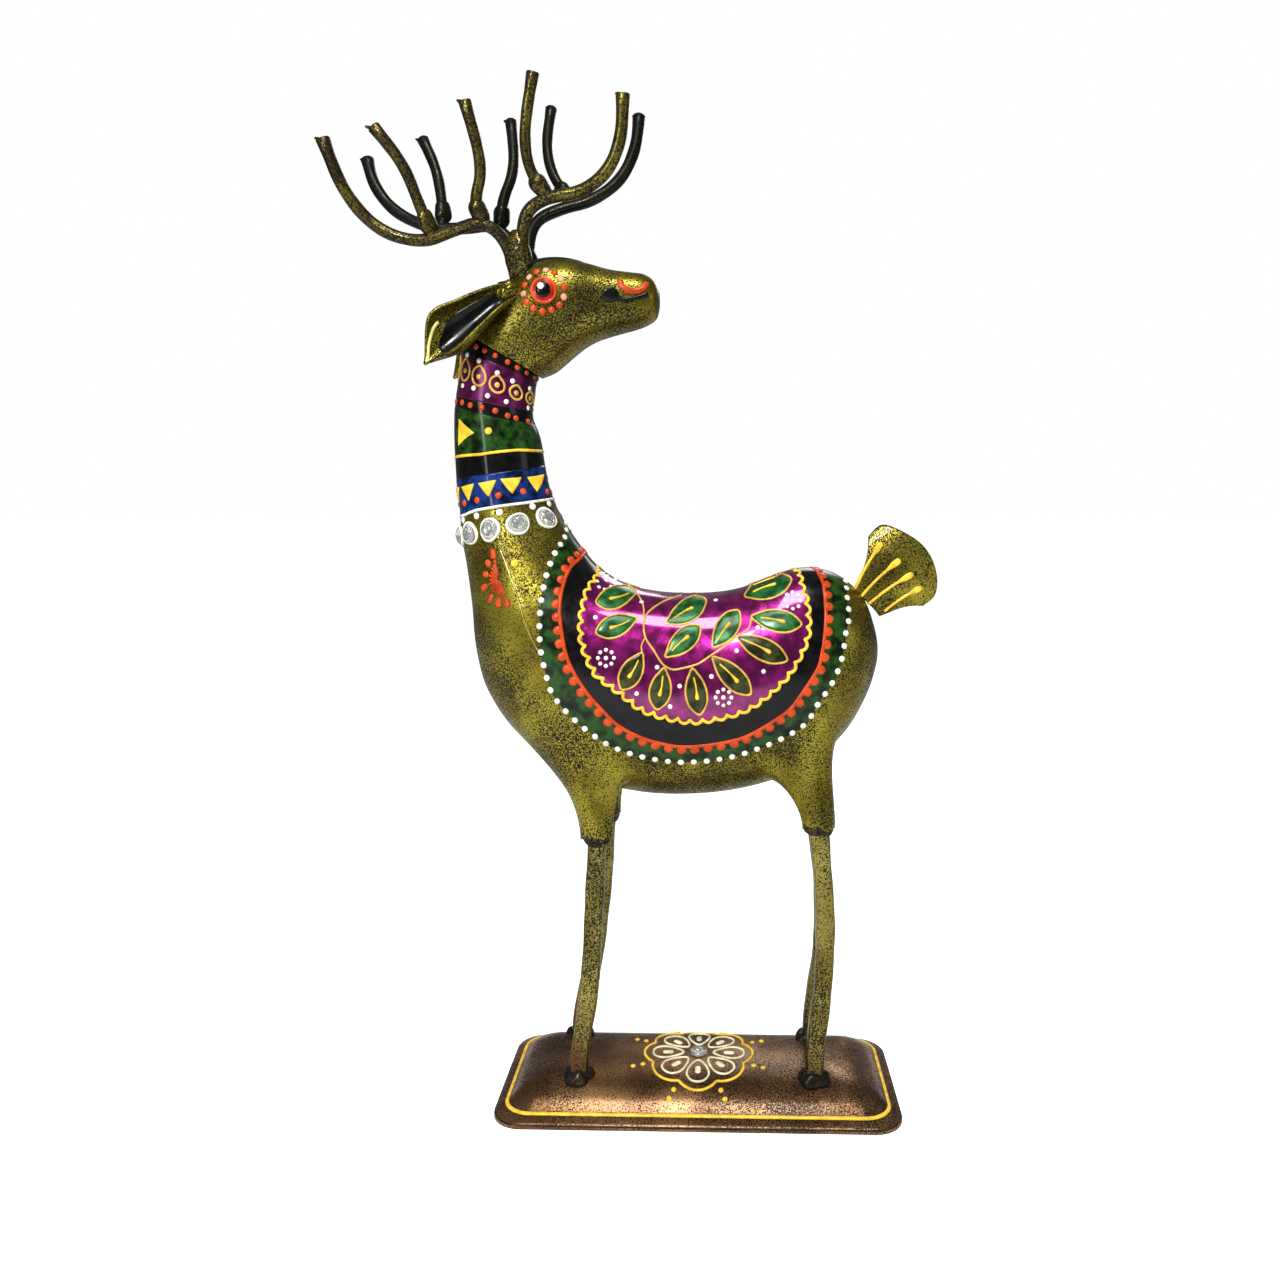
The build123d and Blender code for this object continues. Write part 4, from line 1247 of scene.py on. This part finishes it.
angle = np.linspace(0, 2 * math.pi, 15)[:-1] + 0.15
ring = eye + 6.55 * np.stack([np.cos(angle), np.sin(angle)], -1)
spots = on_head(*ring.T)
orange_drops = [skin_drops(head, spots[0::2], 1.15), skin_drops(head, spots[9:12], 1.15)]
new_piece("eye_orange_drops", both(orange_drops), red)
new_piece("eye_pink_drops", both([skin_drops(head, spots[1::2], 1.1)]), pink)
swirl = [(-25.2, 271.6), (-24.4, 269.4), (-22.3, 267.8), (-19.4, 267.7), (-17.2, 269.2), (-16.6, 271.0)]
new_piece("muzzle_swirls", both([flat_line(swirl, 2.1, 0.5, skin=head, stations=head_span)]), orange)

# ------------------------------------------------------------------ studio
# A pale floor and soft lamps: a broad one overhead, a smaller key in front of it, a fill
# at either side and one behind. The room is dim round the deer, and only what is seen
# beyond it is white.
floor_mesh = bpy.data.meshes.new("floor")
floor_mesh.from_pydata([(-30, -30, 0), (30, -30, 0), (30, 30, 0), (-30, 30, 0)], [], [(0, 1, 2, 3)])
floor = bpy.data.objects.new("floor", floor_mesh)
bpy.context.scene.collection.objects.link(floor)
floor_paint = Recipe("pale floor")
floor_paint.set(Base_Color=(0.985, 0.985, 0.985, 1.0), Roughness=1.0, Specular_IOR_Level=0.0)
glow = floor_paint.tree.nodes.new("ShaderNodeLightPath").outputs["Is Camera Ray"]
floor_paint.set(Emission_Color=(1.0, 1.0, 1.0, 1.0))
glow = floor_paint.sums("MULTIPLY", glow, 0.9)
floor_paint.join(glow, floor_paint.shader.inputs["Emission Strength"])
floor_mesh.materials.append(floor_paint.material)

target = Vector((-0.02, 0.0, 0.16))


def lamp(name, place, size, power):
    """A square soft lamp at a place, turned towards the deer."""
    light = bpy.data.lights.new(name, "AREA")
    light.energy, light.size = power, size
    holder = bpy.data.objects.new(name, light)
    holder.location = place
    holder.rotation_euler = (target - Vector(place)).to_track_quat("-Z", "Y").to_euler()
    bpy.context.scene.collection.objects.link(holder)


lamp("overhead", (0.0, -0.40, 1.0), 0.30, 5.0)
lamp("key", (-0.14, -0.80, 0.74), 0.14, 7.0)
lamp("left_fill", (-0.55, -0.8, 0.42), 0.25, 3.0)
lamp("right_fill", (0.9, -0.5, 0.35), 0.3, 0.6)
lamp("behind", (0.2, 0.9, 0.7), 0.4, 2.0)

room_light = 0.16
world = bpy.data.worlds.new("room")
world.use_nodes = True
sky = world.node_tree.nodes["Background"]
sky.inputs["Color"].default_value = (1.0, 1.0, 1.0, 1.0)
seen = world.node_tree.nodes.new("ShaderNodeLightPath").outputs["Is Camera Ray"]
level = world.node_tree.nodes.new("ShaderNodeMapRange")
level.inputs["To Min"].default_value = room_light
world.node_tree.links.new(seen, level.inputs["Value"])
world.node_tree.links.new(level.outputs["Result"], sky.inputs["Strength"])
bpy.context.scene.world = world
bpy.context.scene.view_settings.view_transform = "Standard"

camera_data = bpy.data.cameras.new("camera")
camera_data.sensor_width = 36.0
camera_data.lens = 30.3
camera_data.shift_x, camera_data.shift_y = -0.043, -0.031
camera_data.clip_start = 0.01
camera = bpy.data.objects.new("camera", camera_data)
camera.location = (0.0085, -0.3582, 0.1992)
camera.rotation_euler = (math.radians(90 - 4.962), 0.0, math.radians(1.564))
bpy.context.scene.collection.objects.link(camera)
bpy.context.scene.camera = camera
